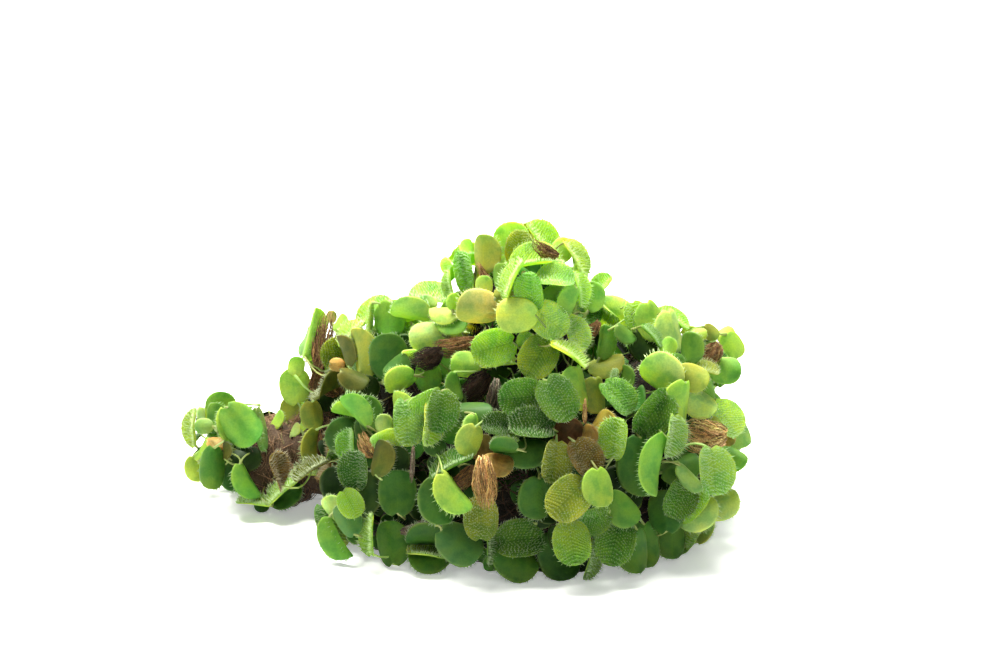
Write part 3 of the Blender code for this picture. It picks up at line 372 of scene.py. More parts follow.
# The front view in which leaves and tufts are placed: the millimetres of a step, the tilt, the
# three directions, and where the middle of the heap's foot is seen
UNIT = 0.28
LOOK = math.radians(17.0)
VIEW_ACROSS = np.array([1.0, 0.0, 0.0])
VIEW_UP = np.array([0.0, math.sin(LOOK), math.cos(LOOK)])
VIEW_NEAR = np.array([0.0, -math.cos(LOOK), math.sin(LOOK)])
FOOT_X, FOOT_Y, FOOT_UP = 462, 585, 16.1
# Where each leaf colour is seen there, across and down. Each colour is the leaf's own colour with
# painted light and shade in it: shade, deep and dusk darken leaves that lie in shadow, pale
# brightens leaves that are lit
LEAF_TONES = {
    "lime": [(196, 450), (214, 411), (222, 428), (249, 505), (271, 421), (279, 493), (291, 386),
        (293, 366), (299, 417), (308, 332), (338, 322), (347, 413), (352, 503), (369, 320),
        (371, 532), (374, 311), (395, 438), (399, 381), (400, 411), (428, 552), (450, 284),
        (454, 301), (456, 490), (465, 364), (492, 348), (506, 438), (512, 243), (514, 279),
        (525, 339), (538, 263), (540, 239), (561, 359), (571, 541), (577, 389), (579, 290),
        (581, 306), (584, 267), (598, 486), (603, 284), (605, 307), (614, 436), (636, 321),
        (655, 322), (668, 346), (675, 319), (680, 405), (691, 501), (721, 468), (736, 346)],
    "olive": [(268, 448), (285, 411), (310, 417), (311, 451), (333, 340), (335, 353), (343, 478),
        (359, 352), (447, 349), (451, 337), (481, 514), (484, 252), (505, 294), (519, 246),
        (553, 461), (566, 497), (595, 396), (607, 363), (693, 377), (704, 369), (713, 332)],
    "yellow": [(186, 429), (190, 472), (304, 475), (350, 333), (429, 425), (443, 312), (470, 440),
        (484, 285), (492, 362), (515, 315), (537, 358), (563, 249), (569, 355), (576, 259),
        (700, 334), (716, 427), (729, 334)],
    "emerald": [(347, 518), (461, 542)],
    "tan": [(454, 459), (492, 329), (499, 461)],
    "green": [(209, 417), (237, 427), (244, 484), (300, 337), (340, 537), (351, 445), (355, 410),
        (389, 319), (428, 377), (452, 322), (463, 270), (531, 290), (570, 301), (590, 312),
        (592, 296), (603, 341), (617, 398), (652, 336), (656, 465), (660, 407), (677, 362),
        (683, 547), (710, 389), (727, 360), (727, 370), (731, 456)],
    "rose": [(519, 287)],
    "grass": [(208, 471), (367, 412), (391, 541), (428, 558), (440, 411), (453, 464), (457, 386),
        (489, 545), (493, 562), (501, 275), (517, 559), (520, 397), (521, 538), (556, 301),
        (558, 399), (591, 517), (613, 541), (622, 507), (624, 378), (626, 334), (634, 550),
        (644, 545), (650, 413), (671, 540), (677, 498), (680, 466), (690, 347)],
    "mint": [(197, 428), (256, 432), (328, 369), (407, 423), (409, 312), (424, 399), (426, 303),
        (428, 296), (530, 414), (556, 279), (590, 558), (616, 376), (670, 436), (690, 476),
        (712, 471), (738, 428)],
    "deep": [(229, 478), (257, 507), (284, 498), (346, 438), (355, 537), (356, 468), (365, 430),
        (388, 355), (397, 365), (398, 490), (427, 538), (436, 445), (441, 499), (475, 411),
        (497, 424), (503, 445), (527, 448), (530, 426), (536, 497), (560, 555), (642, 466),
        (650, 432), (664, 509)],
    "shade": [(242, 460), (322, 400), (362, 491), (366, 389), (396, 460), (405, 469), (449, 403),
        (499, 400), (556, 535), (624, 349), (647, 346)],
    "withered": [(328, 316), (474, 273), (477, 309)],
    "amber": [(600, 424), (729, 438)],
    "peach": [(212, 444), (336, 365)],
    "russet": [(484, 446), (584, 457), (586, 435)],
    "dead": [(567, 434)],
    "bark": [(276, 470), (328, 461)],
    "dusk": [(221, 452), (309, 470), (328, 390), (343, 350), (354, 378), (381, 456), (436, 386)],
    "pale": [(291, 431), (333, 508), (384, 423), (384, 437), (409, 353), (425, 337), (448, 265),
        (467, 246), (473, 426), (550, 321), (574, 335), (612, 313), (660, 372), (673, 332),
        (692, 531), (698, 511), (700, 402), (706, 531), (722, 503), (727, 420)],
}

TONE_COLOURS = {
    "yellow": (0.40, 0.57, 0.100), "lime": (0.31, 0.56, 0.075), "green": (0.15, 0.42, 0.050),
    "grass": (0.090, 0.26, 0.030), "deep": (0.042, 0.160, 0.020), "shade": (0.026, 0.078, 0.010),
    "mint": (0.26, 0.48, 0.13), "olive": (0.29, 0.36, 0.050), "emerald": (0.075, 0.23, 0.050),
    "tan": (0.34, 0.21, 0.050), "rose": (0.42, 0.30, 0.12), "russet": (0.225, 0.150, 0.036),
    "dead": (0.13, 0.060, 0.020), "amber": (0.42, 0.34, 0.065), "withered": (0.39, 0.40, 0.13),
    "peach": (0.62, 0.40, 0.13), "bark": (0.21, 0.125, 0.036), "dusk": (0.105, 0.125, 0.020),
    "pale": (0.48, 0.70, 0.24),
}
# How near a listed place a leaf is seen that has its colour; the others take one of BACK_TONES
SAME_PLACE = 4.0
BACK_TONES = ("lime", "green", "lime", "green", "green", "grass", "grass", "mint", "deep", "olive",
              "grass")
BACK_SHADE = 0.84
# Painted light from above: the pale colour that leaves are mixed towards, more so the higher they
# lie in the heap
TOP_LIGHT_PALE = np.array([0.78, 0.84, 0.30])
HEAP_HEIGHT = 90.0
# Shape of a blade as shares of its length: width, roundness of the oval, bow, lobes of the base and
# ripple; then the cup in degrees
BLADE_WIDE = 0.96
OVAL = 2.45
BOW = 0.05
HEART = 0.10
RIPPLE = 0.016
CUP = 22.0
BLADE_THICK = 0.42
# Rings of corners along a blade, and corners across its upper face
STATIONS = 12
ACROSS = 9
# The solid's blade: how far top and keel stand apart and the top above the middle, how exactly
# lengths agree, and where the widest corner of a whole and of a cut rim stands
RIB_SPAN = 1.0
RIB_UP = 0.30
EXACT = 0.004
WHOLE_RIM = (0.45, 0.9975)
CUT_RIM = (0.76, 0.935)
# Rows of hairs on a half blade: where the first starts and the last ends, hairs in a row, the step
# between them and the sweep towards the tip
HAIR_ROWS = 21
ROW_START = -0.85
ROW_SPAN = 1.82
HAIRS_PER_ROW = 8
FIRST_HAIR = 0.07
HAIR_GAP = 0.128
ROW_SWEEP = 0.52
HAIR_LENGTH = 1.35
HAIR_RADIUS = 0.13
HAIR_WHITE = np.array([0.80, 0.92, 0.60])


def from_view(x, y, away):
    """The point that the front view shows at x, y, at a nearness."""
    return (VIEW_ACROSS * ((x - FOOT_X) * UNIT) + VIEW_UP * ((FOOT_Y - y) * UNIT - FOOT_UP)
            + VIEW_NEAR * away - PLAN_SHIFT)


def in_view(points):
    """Where the front view shows points, across and down."""
    points = points + PLAN_SHIFT
    return points @ VIEW_ACROSS / UNIT + FOOT_X, FOOT_Y - (points @ VIEW_UP + FOOT_UP) / UNIT


def welded(node):
    """The corners of a node, each once, in millimetres, and its triangles."""
    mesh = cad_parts[node].data
    corners = np.empty(len(mesh.vertices) * 3, np.float32)
    mesh.vertices.foreach_get("co", corners)
    corners = corners.reshape(-1, 3).astype(float) / MM
    mesh.calc_loop_triangles()
    triangles = np.empty(len(mesh.loop_triangles) * 3, np.int32)
    mesh.loop_triangles.foreach_get("vertices", triangles)
    rounded = np.round(corners / 0.002)
    _, first, place = np.unique(rounded, axis=0, return_index=True, return_inverse=True)
    return corners[first], place.ravel()[triangles].reshape(-1, 3)


def find_blades(corners, triangles):
    """The leaf blades of a solid: the top and the keel of a blade lie RIB_SPAN apart and share its
    rim. Returns middles, axes, lengths and folds, the ring at each base, and the linked corners."""
    linked = np.zeros((len(corners), len(corners)), bool)
    for a, b in ((0, 1), (1, 2), (2, 0)):
        linked[triangles[:, a], triangles[:, b]] = True
        linked[triangles[:, b], triangles[:, a]] = True
    apart = np.linalg.norm(corners[:, None] - corners[None], axis=2)
    shared = linked.astype(int) @ linked.astype(int)
    pairs = np.argwhere(np.triu((np.abs(apart - RIB_SPAN) < EXACT) & (shared >= 6)))
    blades = []
    rings = []
    for top, keel in pairs:
        if (linked[top] & ~linked[keel]).sum() > (linked[keel] & ~linked[top]).sum():
            top, keel = keel, top
        under = np.flatnonzero(linked[keel] & ~linked[top])
        common = linked[top] & linked[keel]
        joint = under[under != top][0]
        base = common & linked[joint]
        rim = np.flatnonzero(common & ~base)
        start = corners[base].mean(axis=0)
        tip = corners[rim[np.linalg.norm(corners[rim] - start, axis=1).argmax()]]
        face = (corners[top] - corners[keel]) / RIB_SPAN
        size = np.linalg.norm(tip - start)
        along = (tip - start) / size
        side = np.cross(face, along)
        middle = corners[top] - face * RIB_UP
        local = corners[rim] - middle
        share, wide = WHOLE_RIM if len(rim) > 5 else CUT_RIM
        reach = size * (share - 0.5) - HEART * size * (1 - share) ** 3
        edge = local[np.abs(local @ along - reach).argmin()]
        lift = edge @ face + BOW * size * (2 * share - 1) ** 2
        fold = math.degrees(math.atan2(lift, abs(edge @ side))) - CUP * wide / 2
        blades.append((middle, along, side, face, size, max(fold, 0.0)))
        rings.append([*np.flatnonzero(base), joint])
    return blades, rings, linked


def blade_middle(t, s, leaf):
    """The middle surface of the blades: t runs from base to tip and s from edge to edge. The
    outline is a rounded oval; each half turns up from the midrib by the fold, more to its edge."""
    size = leaf["size"]
    wide = s * np.sqrt(np.clip(1 - np.abs(2 * t - 1) ** OVAL, 0, 1))
    turn = np.radians(np.minimum(leaf["fold"] + CUP * np.abs(wide) / 2, 86))
    half = size * BLADE_WIDE / 2
    across = half * wide * np.cos(turn)
    lift = half * np.abs(wide) * np.sin(turn) - BOW * size * (2 * t - 1) ** 2
    ripple = np.sin(5.5 * t + leaf["phase"]) * np.sin(2.6 * s + 2 * leaf["phase"])
    lift = lift + RIPPLE * size * ripple * np.abs(wide)
    reach = size * (t - 0.5) - HEART * size * np.abs(s) * (1 - t) ** 3
    return (leaf["middle"] + leaf["along"] * reach[..., None] + leaf["side"] * across[..., None]
            + leaf["face"] * lift[..., None])


def blade_normal(t, s, leaf):
    """The upward normal of the middle surface, from small steps along and across it."""
    t = np.clip(t, 0.04, 0.96)
    s = np.clip(s, -0.97, 0.97)
    ahead = blade_middle(t + 0.01, s, leaf) - blade_middle(t - 0.01, s, leaf)
    across = blade_middle(t, s + 0.02, leaf) - blade_middle(t, s - 0.02, leaf)
    normal = unit(np.cross(ahead, across), TINY)
    return normal * np.sign((normal * leaf["face"]).sum(axis=-1, keepdims=True) + TINY)


def blade_lens(middle, along, side, face, size, fold, gap=0.25):
    """A coarse closed lens round a blade, to test that a new leaf is clear of the others."""
    leaf = {"middle": middle, "along": along, "side": side, "face": face, "size": np.array(size),
            "fold": np.array(fold), "phase": np.array(0.0)}
    t = np.array([0.0, 0.1, 0.45, 0.84, 1.0, 0.84, 0.45, 0.1])
    s = np.array([0.0, 1, 1, 1, 0, -1, -1, -1]) * 1.05
    ends = [middle + face * (RIB_UP + gap), middle - face * (0.5 + gap)]
    faces = [(i, (i + 1) % 8, end) for i in range(8) for end in (8, 9)]
    return [*blade_middle(t, s, leaf), *ends], faces


# A leaf in front that the solids leave out: its plant, place, nearness, size, fold and tilts
FRONT_LEAVES = {"sprig_foot_middle": [(521, 538, 50.5, 13.0, 12.0, 0.35, 0.10)]}


def front_blades(node):
    """The further blades of a plant, turned to the front and leaning back by the first tilt."""
    blades = []
    for x, y, away, size, fold, lean, turn in FRONT_LEAVES.get(node, []):
        face = (VIEW_NEAR + VIEW_UP * lean) / math.hypot(1, lean)
        along = VIEW_ACROSS * math.cos(turn) + np.cross(face, VIEW_ACROSS) * math.sin(turn)
        blades.append((from_view(x, y, away), along, np.cross(face, along), face, size, fold))
    return blades


def stack(blades, seed):
    """The blades of one plant as arrays that broadcast over a grid of t and s."""
    rng = np.random.default_rng(seed)
    leaf = {key: np.array([blade[k] for blade in blades])[:, None, None]
            for k, key in enumerate(("middle", "along", "side", "face", "size", "fold"))}
    leaf["phase"] = rng.uniform(0, 6.28, (len(blades), 1, 1))
    return leaf, rng


LEAF_PLACES = np.array([place for places in LEAF_TONES.values() for place in places], dtype=float)
PLACE_TONES = [tone for tone, places in LEAF_TONES.items() for _ in places]


def leaf_tones(leaf, rng):
    """The colour of each blade: that of its place in the front view, or a mixed green elsewhere."""
    middles = leaf["middle"][:, 0, 0]
    seen = np.stack(in_view(middles), axis=1)
    apart = np.linalg.norm(seen[:, None] - LEAF_PLACES[None], axis=2)
    colours = []
    for k, place in enumerate(apart.argmin(axis=1)):
        if apart[k, place] < SAME_PLACE:
            colours.append(np.array(TONE_COLOURS[PLACE_TONES[place]]))
        else:
            tone = BACK_TONES[rng.integers(len(BACK_TONES))]
            colours.append(np.array(TONE_COLOURS[tone]) * BACK_SHADE)
    # Painted light and shade: leaves low in the heap are darker, and higher ones brighter and paler
    height = np.clip(middles[:, 2:] / HEAP_HEIGHT, 0, 1)
    colours = np.array(colours) * (0.64 + 0.58 * height) * rng.uniform(0.9, 1.12, (len(colours), 1))
    pale = 0.04 + 0.10 * height
    return colours * (1 - pale) + TOP_LIGHT_PALE * pale * colours[:, 1:2] / 0.42


def add_blades(build, leaf, colours, rng, stations=STATIONS, wide=ACROSS):
    """The blades as closed thin shells: rings of corners round the cross-section from base to tip,
    upper face and lower face a thickness apart that fades to the edge."""
    count = len(colours)
    t = (1 - np.cos(math.pi * np.arange(1, stations + 1) / (stations + 1))) / 2
    s = np.sin(math.pi / 2 * np.linspace(-1, 1, wide))
    around = np.concatenate([s, s[-2:0:-1]])
    face = np.concatenate([np.ones(wide), -np.ones(wide - 2)])
    face[[0, wide - 1]] = 0
    t, around, face = t[None, :, None], around[None, None, :], face[None, None, :]
    thick = BLADE_THICK / 2 * np.sqrt(1 - np.abs(around) ** 6) * np.sqrt(1 - np.abs(2 * t - 1) ** 8)
    keel = 0.35 * np.exp(-(around / 0.12) ** 2) * (1 - t) * (face < 0)
    middle = blade_middle(t, around, leaf)
    normal = blade_normal(t, around, leaf)
    points = middle + normal * (face * (thick + keel))[..., None]
    ring = around.shape[2]
    nought = np.zeros((1, 1, 1))
    ends = [blade_middle(nought + end, nought, leaf)[:, 0] for end in (0.0, 1.0)]
    points = np.concatenate([points.reshape(count, -1, 3), *ends], axis=1)
    lift_to(points, GROUND)
    quads = wrapped_quads(stations, ring)[:, ::-1]
    here = np.arange(ring)
    after = (here + 1) % ring
    base = np.stack([np.full(ring, stations * ring), after, here], axis=1)[:, ::-1]
    last = (stations - 1) * ring
    tip = np.stack([np.full(ring, stations * ring + 1), last + here, last + after], axis=1)[:, ::-1]
    each = np.arange(count)[:, None, None] * points.shape[1]
    face_sets = [(part[None] + each).reshape(-1, part.shape[1]) for part in (quads, base, tip)]
    ones = np.ones((1, stations, ring))
    mark = np.stack([(around * ones + 1) / 2, t * ones, (face * ones + 1) / 2], axis=-1)
    mark = np.concatenate([mark.reshape(-1, 3), [(0.5, 0.0, 0.5), (0.5, 1.0, 0.5)]])
    fade = mark[:, 1][None, :, None]
    tones = colours[:, None]
    for much, each_part in ((0.14, 1.0), (0.30, np.array([1.0, 0.2, 0.4]))):
        tones = tones * (1 + rng.normal(0, much, (count, 1, 1)) * (fade - 0.5) * each_part)
    build.add(points, face_sets, 0, tones.reshape(-1, 3), np.tile(mark, (count, 1)))


def hair_grid():
    """Where the hairs stand on a blade: rows that leave the midrib and sweep towards the tip."""
    row = ROW_START + ROW_SPAN * (np.arange(HAIR_ROWS) + 0.5) / HAIR_ROWS
    s = FIRST_HAIR + HAIR_GAP * np.arange(HAIRS_PER_ROW)
    row, s = np.meshgrid(row, s, indexing="ij")
    t = row + ROW_SWEEP * s * (1 - row)
    t, s = t.ravel(), s.ravel()
    keep = (t > 0.03) & (t < 0.98)
    return np.concatenate([t[keep], t[keep]]), np.concatenate([s[keep], -s[keep]])


HAIR_T, HAIR_S = hair_grid()


def add_hairs(build, leaf, colours, rng):
    """Stiff hairs as slim three-sided cones that lean outwards and towards the tip."""
    count = len(colours)
    shape = (count, 1, len(HAIR_T))
    t = HAIR_T[None, None, :] + rng.normal(0, 0.012, shape)
    s = np.clip(HAIR_S[None, None, :] + rng.normal(0, 0.020, shape), -0.985, 0.985)
    normal = blade_normal(t, s, leaf)
    above = BLADE_THICK / 2 * np.sqrt(1 - np.abs(s) ** 6) - 0.04
    foot = blade_middle(t, s, leaf) + normal * above[..., None]
    outward = np.sign(s) * (0.18 + 0.60 * np.abs(s) ** 5)
    forward = 0.15 + 0.45 * t ** 4
    lean = normal * 0.9 + leaf["side"] * outward[..., None] + leaf["along"] * forward[..., None]
    lean = unit(lean + rng.normal(0, 0.16, (*shape, 3)))
    scale = np.clip(leaf["size"] / 10.5, 0.5, 1.05)
    length = HAIR_LENGTH * scale * rng.uniform(0.65, 1.2, shape)
    out = unit(np.cross(lean, leaf["along"]), TINY)
    other = np.cross(lean, out)
    corners = []
    for turn in (0, 2 * math.pi / 3, 4 * math.pi / 3):
        around = out * math.cos(turn) + other * math.sin(turn)
        corners.append(foot + around * (HAIR_RADIUS * scale)[..., None])
    points = np.stack([*corners, foot + lean * length[..., None]], axis=-2).reshape(-1, 3)
    lift_to(points, 0.0)
    faces = np.array([(0, 1, 3), (1, 2, 3), (2, 0, 3), (2, 1, 0)])
    each = np.arange(len(points) // 4)[:, None, None] * 4
    white = np.where(colours[:, :1] > colours[:, 1:2], 0.25, 0.55)[:, None]
    pale = colours[:, None] * (1 - white) + HAIR_WHITE * white
    foot_tone = colours[:, None] * 1.20 + 0.02
    tones = np.stack([foot_tone, foot_tone, foot_tone, pale], axis=2)
    tones = np.broadcast_to(tones, (count, len(HAIR_T), 4, 3)).reshape(-1, 3)
    build.add(points, [(faces[None] + each).reshape(-1, 3)], 1, tones)


def vein_group():
    """Masks on a blade from its chart: rows that sweep from the midrib, the spots where hairs
    stand on them, the midrib, the rim, and how near a spot lies to an edge."""
    group, paint, given, result = new_group(
        "blade_veins", {"Rows": 12.6, "Spots": 8.9}, ("Row", "Spot", "Midrib", "Rim", "Reach"))
    work = paint.work
    parts = paint.node("SeparateXYZ", {"Vector": paint.node("UVMap", uv_map="blade")["UV"]})

    def beats(way, start, pace):
        turns = work("MULTIPLY", work("ADD", way, -start), pace)
        return work("MULTIPLY_ADD", work("COSINE", work("MULTIPLY", turns, 2 * math.pi)), 0.5, 0.5)

    t = parts["Y"]
    across = work("ABSOLUTE", work("MULTIPLY_ADD", parts["X"], 2.0, -1.0))
    sweep = work("MULTIPLY", across, ROW_SWEEP)
    origin = work("DIVIDE", work("SUBTRACT", t, sweep), work("SUBTRACT", 1.0, sweep))
    row = beats(origin, ROW_START + 0.5 * ROW_SPAN / HAIR_ROWS, given["Rows"])
    ends = work("POWER", work("ABSOLUTE", work("MULTIPLY_ADD", t, 2.0, -1.0)), 30.0)
    paint.put(result, {
        "Row": row,
        "Spot": work("MULTIPLY", row, beats(across, FIRST_HAIR, given["Spots"])),
        "Midrib": work("POWER", work("SUBTRACT", 1.0, across), 26.0),
        "Rim": work("MAXIMUM", work("POWER", across, 10.0), ends),
        "Reach": work("POWER", across, 1.6),
    })
    return group


blade_veins = vein_group()


def let_light_through(paint, skin, output, colour, share):
    """Mix the shader with one that passes light in a colour."""
    through = paint.node("BsdfTranslucent", {"Color": colour})["BSDF"]
    both = paint.node("MixShader", {"Fac": share, 1: skin.outputs["BSDF"], 2: through})
    paint.put(output, {"Surface": both["Shader"]})


def leaf_material():
    """A soft green blade: hairy rows and a dark midrib above, plain and paler below, with light
    passing through it."""
    material, paint, skin, output = new_material("leaf_blade")
    mix, tint, spread = paint.mix, paint.tint, paint.spread
    rows = {"Rows": HAIR_ROWS / ROW_SPAN, "Spots": 1 / HAIR_GAP}
    veins = paint.node("Group", rows, node_tree=blade_veins)
    grain = paint.node("Group", {"Fine size": 2200.0, "Patch size": 260.0}, node_tree=plant_grain)
    upper = paint.carried("upper", "Fac")
    tone = paint.carried("tone", "Color")
    dark = tint(tone, (0.82, 0.87, 0.74))
    light = mix(0.25, tint(tone, (1.30, 1.25, 1.15)), (0.65, 0.80, 0.38))
    above = mix(spread(veins["Row"], 0.0, 0.7), dark, tone)
    above = mix(spread(veins["Spot"], 0.45, 0.95, 0.0, 0.8), above, light)
    above = mix(veins["Midrib"], above, tint(tone, (0.70, 0.78, 0.6)))
    above = tint(above, (1.18, 1.20, 1.22))
    below = tint(tone, (1.10, 1.06, 1.25))
    below = mix(spread(veins["Row"], 0.0, 1.0, 0.10, 0.0), below, dark)
    ridge = spread(veins["Midrib"], 0.0, 1.0, 0.0, 0.5)
    below = mix(ridge, below, tint(tone, (1.35, 1.25, 1.2)))
    colour = mix(spread(upper, 0.40, 0.60), below, above)
    # Painted shade: each blade is darker towards its midrib and lighter out to its edges
    colour = tint(colour, (0.66, 0.78, 0.62), spread(veins["Reach"], 0.0, 1.0, 0.55, 0.0))
    # Painted highlight: a pale rim round the edge and both ends of each blade
    rim = mix(0.14, tint(tone, (1.40, 1.30, 1.15)), (0.75, 0.85, 0.40))
    colour = mix(spread(veins["Rim"], 0.15, 0.9, 0.0, 0.85), colour, rim)
    # Yellower clouds, darker clouds of painted shade, and fine flecks: the tint, and the mask's
    # range and strengths
    for mask, by, *strength in (("Patches", (1.40, 1.12, 0.65), 0.35, 0.65, 0.0, 0.6),
                                ("Patches", (0.66, 0.78, 0.62), 0.36, 0.50, 0.65, 0.0),
                                ("Grain", (0.66, 0.74, 0.60), 0.38, 0.62, 0.45, 0.0)):
        colour = tint(colour, by, spread(grain[mask], *strength))
    # Brown leaves are wilted: creased and blotched
    parts = paint.node("SeparateColor", {"Color": tone})
    brown = spread(paint.work("SUBTRACT", parts["Red"], parts["Green"]), 0.0, 0.06)
    crease = paint.node("TexNoise", {"Vector": paint.node("TexCoord")["Object"], "Scale": 260.0,
                                     "Detail": 4.0, "Distortion": 1.5})["Fac"]
    wilt = paint.work("MULTIPLY", brown, spread(crease, 0.38, 0.58, 0.75, 0.0))
    colour = tint(colour, (0.62, 0.54, 0.42), wilt)
    height = paint.work("MULTIPLY_ADD", veins["Row"], spread(upper, 0.4, 0.6, 0.06, 1.0),
                        spread(wilt, 0.0, 1.0, 1.0, -0.6))
    paint.put(skin, {
        "Base Color": colour,
        "Roughness": spread(grain["Grain"], 0.3, 0.7, 0.42, 0.58),
        "Specular IOR Level": 0.15,
        "Normal": paint.bump(height, 0.00035, 0.7),
    })
    let_light_through(paint, skin, output, tint(colour, (1.30, 1.25, 0.50)), 0.45)
    return material


def hair_material():
    """White translucent hairs that take the colour of their leaf at the foot."""
    material, paint, skin, output = new_material("leaf_hair")
    patches = paint.node("Group", node_tree=plant_grain)["Patches"]
    tone = paint.carried("tone", "Color")
    colour = paint.mix(paint.spread(patches, 0.3, 0.7, 0.0, 0.2), tone, (0.80, 0.85, 0.60))
    paint.put(skin, {"Base Color": colour, "Roughness": 0.5, "Specular IOR Level": 0.2})
    let_light_through(paint, skin, output, colour, 0.4)
    return material


leaf_blade = leaf_material()
leaf_hair = hair_material()

# Rhizomes and leaf stalks
# Each plant's leaves sit on short stalks along a thin, branching, brownish green stem. It
# grew as one with them, so stem, stalks and leaves are one piece.

# Half the width of a solid's stalk, and how deep a fine one dives from its leaf
STALK = 0.6
STALK_DIVE = 1.3
STEM_STEPS = 9
STEM_RADIUS = 0.32
STEM_GREEN = np.array([0.32, 0.50, 0.10])
STEM_BROWN = np.array([0.33, 0.28, 0.09])
# How far a bend may sink towards the mat and away from the front
STEM_SINKS = (
    (3, 0), (5, 0), (1.5, 0), (7, 0), (0, 0), (9, 0), (0, 4), (0, 8), (4, 5), (0, 12), (7, 8),
)
# What a point of a stem costs that shows before a leaf, and one that shows beside them all
BEFORE_LEAF, BESIDE_LEAVES = 0.4, 1.5


def find_rings(corners, linked, blade_rings):
    """The rings of three corners that a stem passes through, each with its centre: those at the
    leaf bases, those at its bends, which have a right angle, and even-sided ones at the tufts."""
    rings = [(ring, corners[ring[:2]].mean(axis=0)) for ring in blade_rings]
    apart = np.linalg.norm(corners[:, None] - corners[None], axis=2)
    free = np.ones(len(corners), bool)
    free[[i for ring in blade_rings for i in ring]] = False
    even = STALK * math.sqrt(3)
    for long, short in ((2 * STALK, STALK * math.sqrt(2)), (even, even)):
        for a, b in np.argwhere(np.triu(linked & (np.abs(apart - long) < EXACT))):
            near = linked[a] & linked[b] & free
            near &= (np.abs(apart[a] - short) < EXACT) & (np.abs(apart[b] - short) < EXACT)
            if free[a] and free[b] and near.any():
                ring = [int(a), int(b), int(np.flatnonzero(near)[0])]
                rings.append((ring, corners[ring[:2] if long > short else ring].mean(axis=0)))
                free[ring] = False
    return rings


def sight(tree, start, way, far=1e6):
    """How far one sees from a point in a direction before a tree of faces, or None past it."""
    return tree.ray_cast(Vector(start), Vector(way), far)[3]


def stem_path(start, end, out, into):
    """A cubic curve from one centre to the next that leaves and arrives along the given ways."""
    share = np.linspace(0, 1, STEM_STEPS)[:, None]
    square, cube = share ** 2, share ** 3
    return ((2 * cube - 3 * square + 1) * start + (cube - 2 * square + share) * out
            + (3 * square - 2 * cube) * end + (cube - square) * into)


def stem_cost(path, leaves_tree):
    """How often a path pierces a leaf, and a share for each point of it that shows in front."""
    cost = 0.0
    for start, end in zip(path[1:-2], path[2:-1]):
        way = end - start
        cost += sight(leaves_tree, start, way, float(np.linalg.norm(way))) is not None
        if sight(leaves_tree, end, VIEW_NEAR) is None:
            behind = sight(leaves_tree, end, -VIEW_NEAR)
            cost += BESIDE_LEAVES if behind is None else BEFORE_LEAF
    return cost


def stem_curves(rings, linked, blades, leaves_tree):
    """Smooth paths between the rings that are linked: curves that leave a leaf base backwards and
    down into the heap and run straight into the bend they join. Each bend sinks into the heap by
    the step that keeps its stems clear of leaves."""
    count = len(rings)
    centres = np.array([centre for _, centre in rings])
    inward = into_mat(centres)
    links = np.zeros((count, count), int)
    for i in range(count):
        for j in range(i + 1, count):
            links[i, j] = links[j, i] = linked[np.ix_(rings[i][0], rings[j][0])].sum()
    joined = links >= 4
    for i in np.flatnonzero(~joined.any(axis=1)):
        if links[i].any():
            j = links[i].argmax()
            joined[i, j] = joined[j, i] = True

    def path_between(i, j):
        start, end = centres[i], centres[j]
        length = np.linalg.norm(end - start)
        out = (inward[i] * STALK_DIVE - blades[i][1]) * length if i < len(blades) else end - start
        into = (blades[j][1] - inward[j] * STALK_DIVE) * length if j < len(blades) else end - start
        return stem_path(start, end, out, into)

    for i in range(len(blades), count):
        own = centres[i].copy()
        best = None
        for sink, back in STEM_SINKS:
            centres[i] = own + inward[i] * sink - VIEW_NEAR * back
            centres[i, 2] = max(centres[i, 2], 0.7)
            paths = [path_between(i, j) for j in np.flatnonzero(joined[i])]
            cost = sum(stem_cost(path, leaves_tree) for path in paths)
            if best is None or cost < best[0] - 0.01:
                best = (cost, centres[i].copy())
        centres[i] = best[1]
    return np.array([path_between(i, j) for i, j in np.argwhere(np.triu(joined))])


def add_stems(build, paths, rng, sides=6):
    """Round stems along the paths, with a little swelling at each end."""
    if not len(paths):
        return
    share = np.linspace(0, 1, paths.shape[1])
    swell = 0.82 + 0.5 * (2 * share - 1) ** 6
    radii = STEM_RADIUS * swell[None, :] * rng.uniform(0.8, 1.15, (len(paths), 1))
    blend = rng.uniform(0.3, 1, (len(paths), 1, 1)) * np.ones((1, paths.shape[1] * sides, 1))
    tones = (STEM_GREEN * blend + STEM_BROWN * (1 - blend)).reshape(-1, 3)
    build.add_strands(paths, radii, 1, tones * rng.uniform(0.8, 1.2, (len(tones), 1)), sides)


# Tufts
# Here and there a bundle of brown, hair-like submerged fronds hangs from a stem, dried to a
# tapering brush. It grew on its plant and stays one piece with it.

# In the front view: thick end and tip, across and down, half width, and finish
TUFTS = [
    (557, 256, 535, 243, 6, "root"), (491, 282, 478, 264, 3, "straw"),
    (598, 322, 584, 337, 6, "root"), (477, 343, 436, 347, 9, "root"),
    (441, 352, 412, 361, 10, "black"), (487, 374, 459, 398, 10, "black"),
    (496, 380, 492, 410, 6, "dusty"), (315, 366, 325, 315, 9, "root"),
    (375, 455, 361, 436, 7, "straw"), (414, 447, 412, 479, 2, "dusty"),
    (474, 466, 455, 484, 7, "root"), (484, 456, 486, 503, 10, "straw"),
    (403, 530, 436, 517, 5, "dusty"), (584, 422, 584, 400, 2, "straw"),
    (720, 345, 701, 363, 9, "root"), (724, 436, 681, 430, 15, "sand"),
    (700, 466, 707, 497, 3, "root"),
]
TUFT_COLOURS = {
    "root": (0.30, 0.18, 0.070), "straw": (0.60, 0.38, 0.15), "black": (0.045, 0.027, 0.012),
    "dusty": (0.20, 0.17, 0.12), "sand": (0.62, 0.46, 0.18),
}
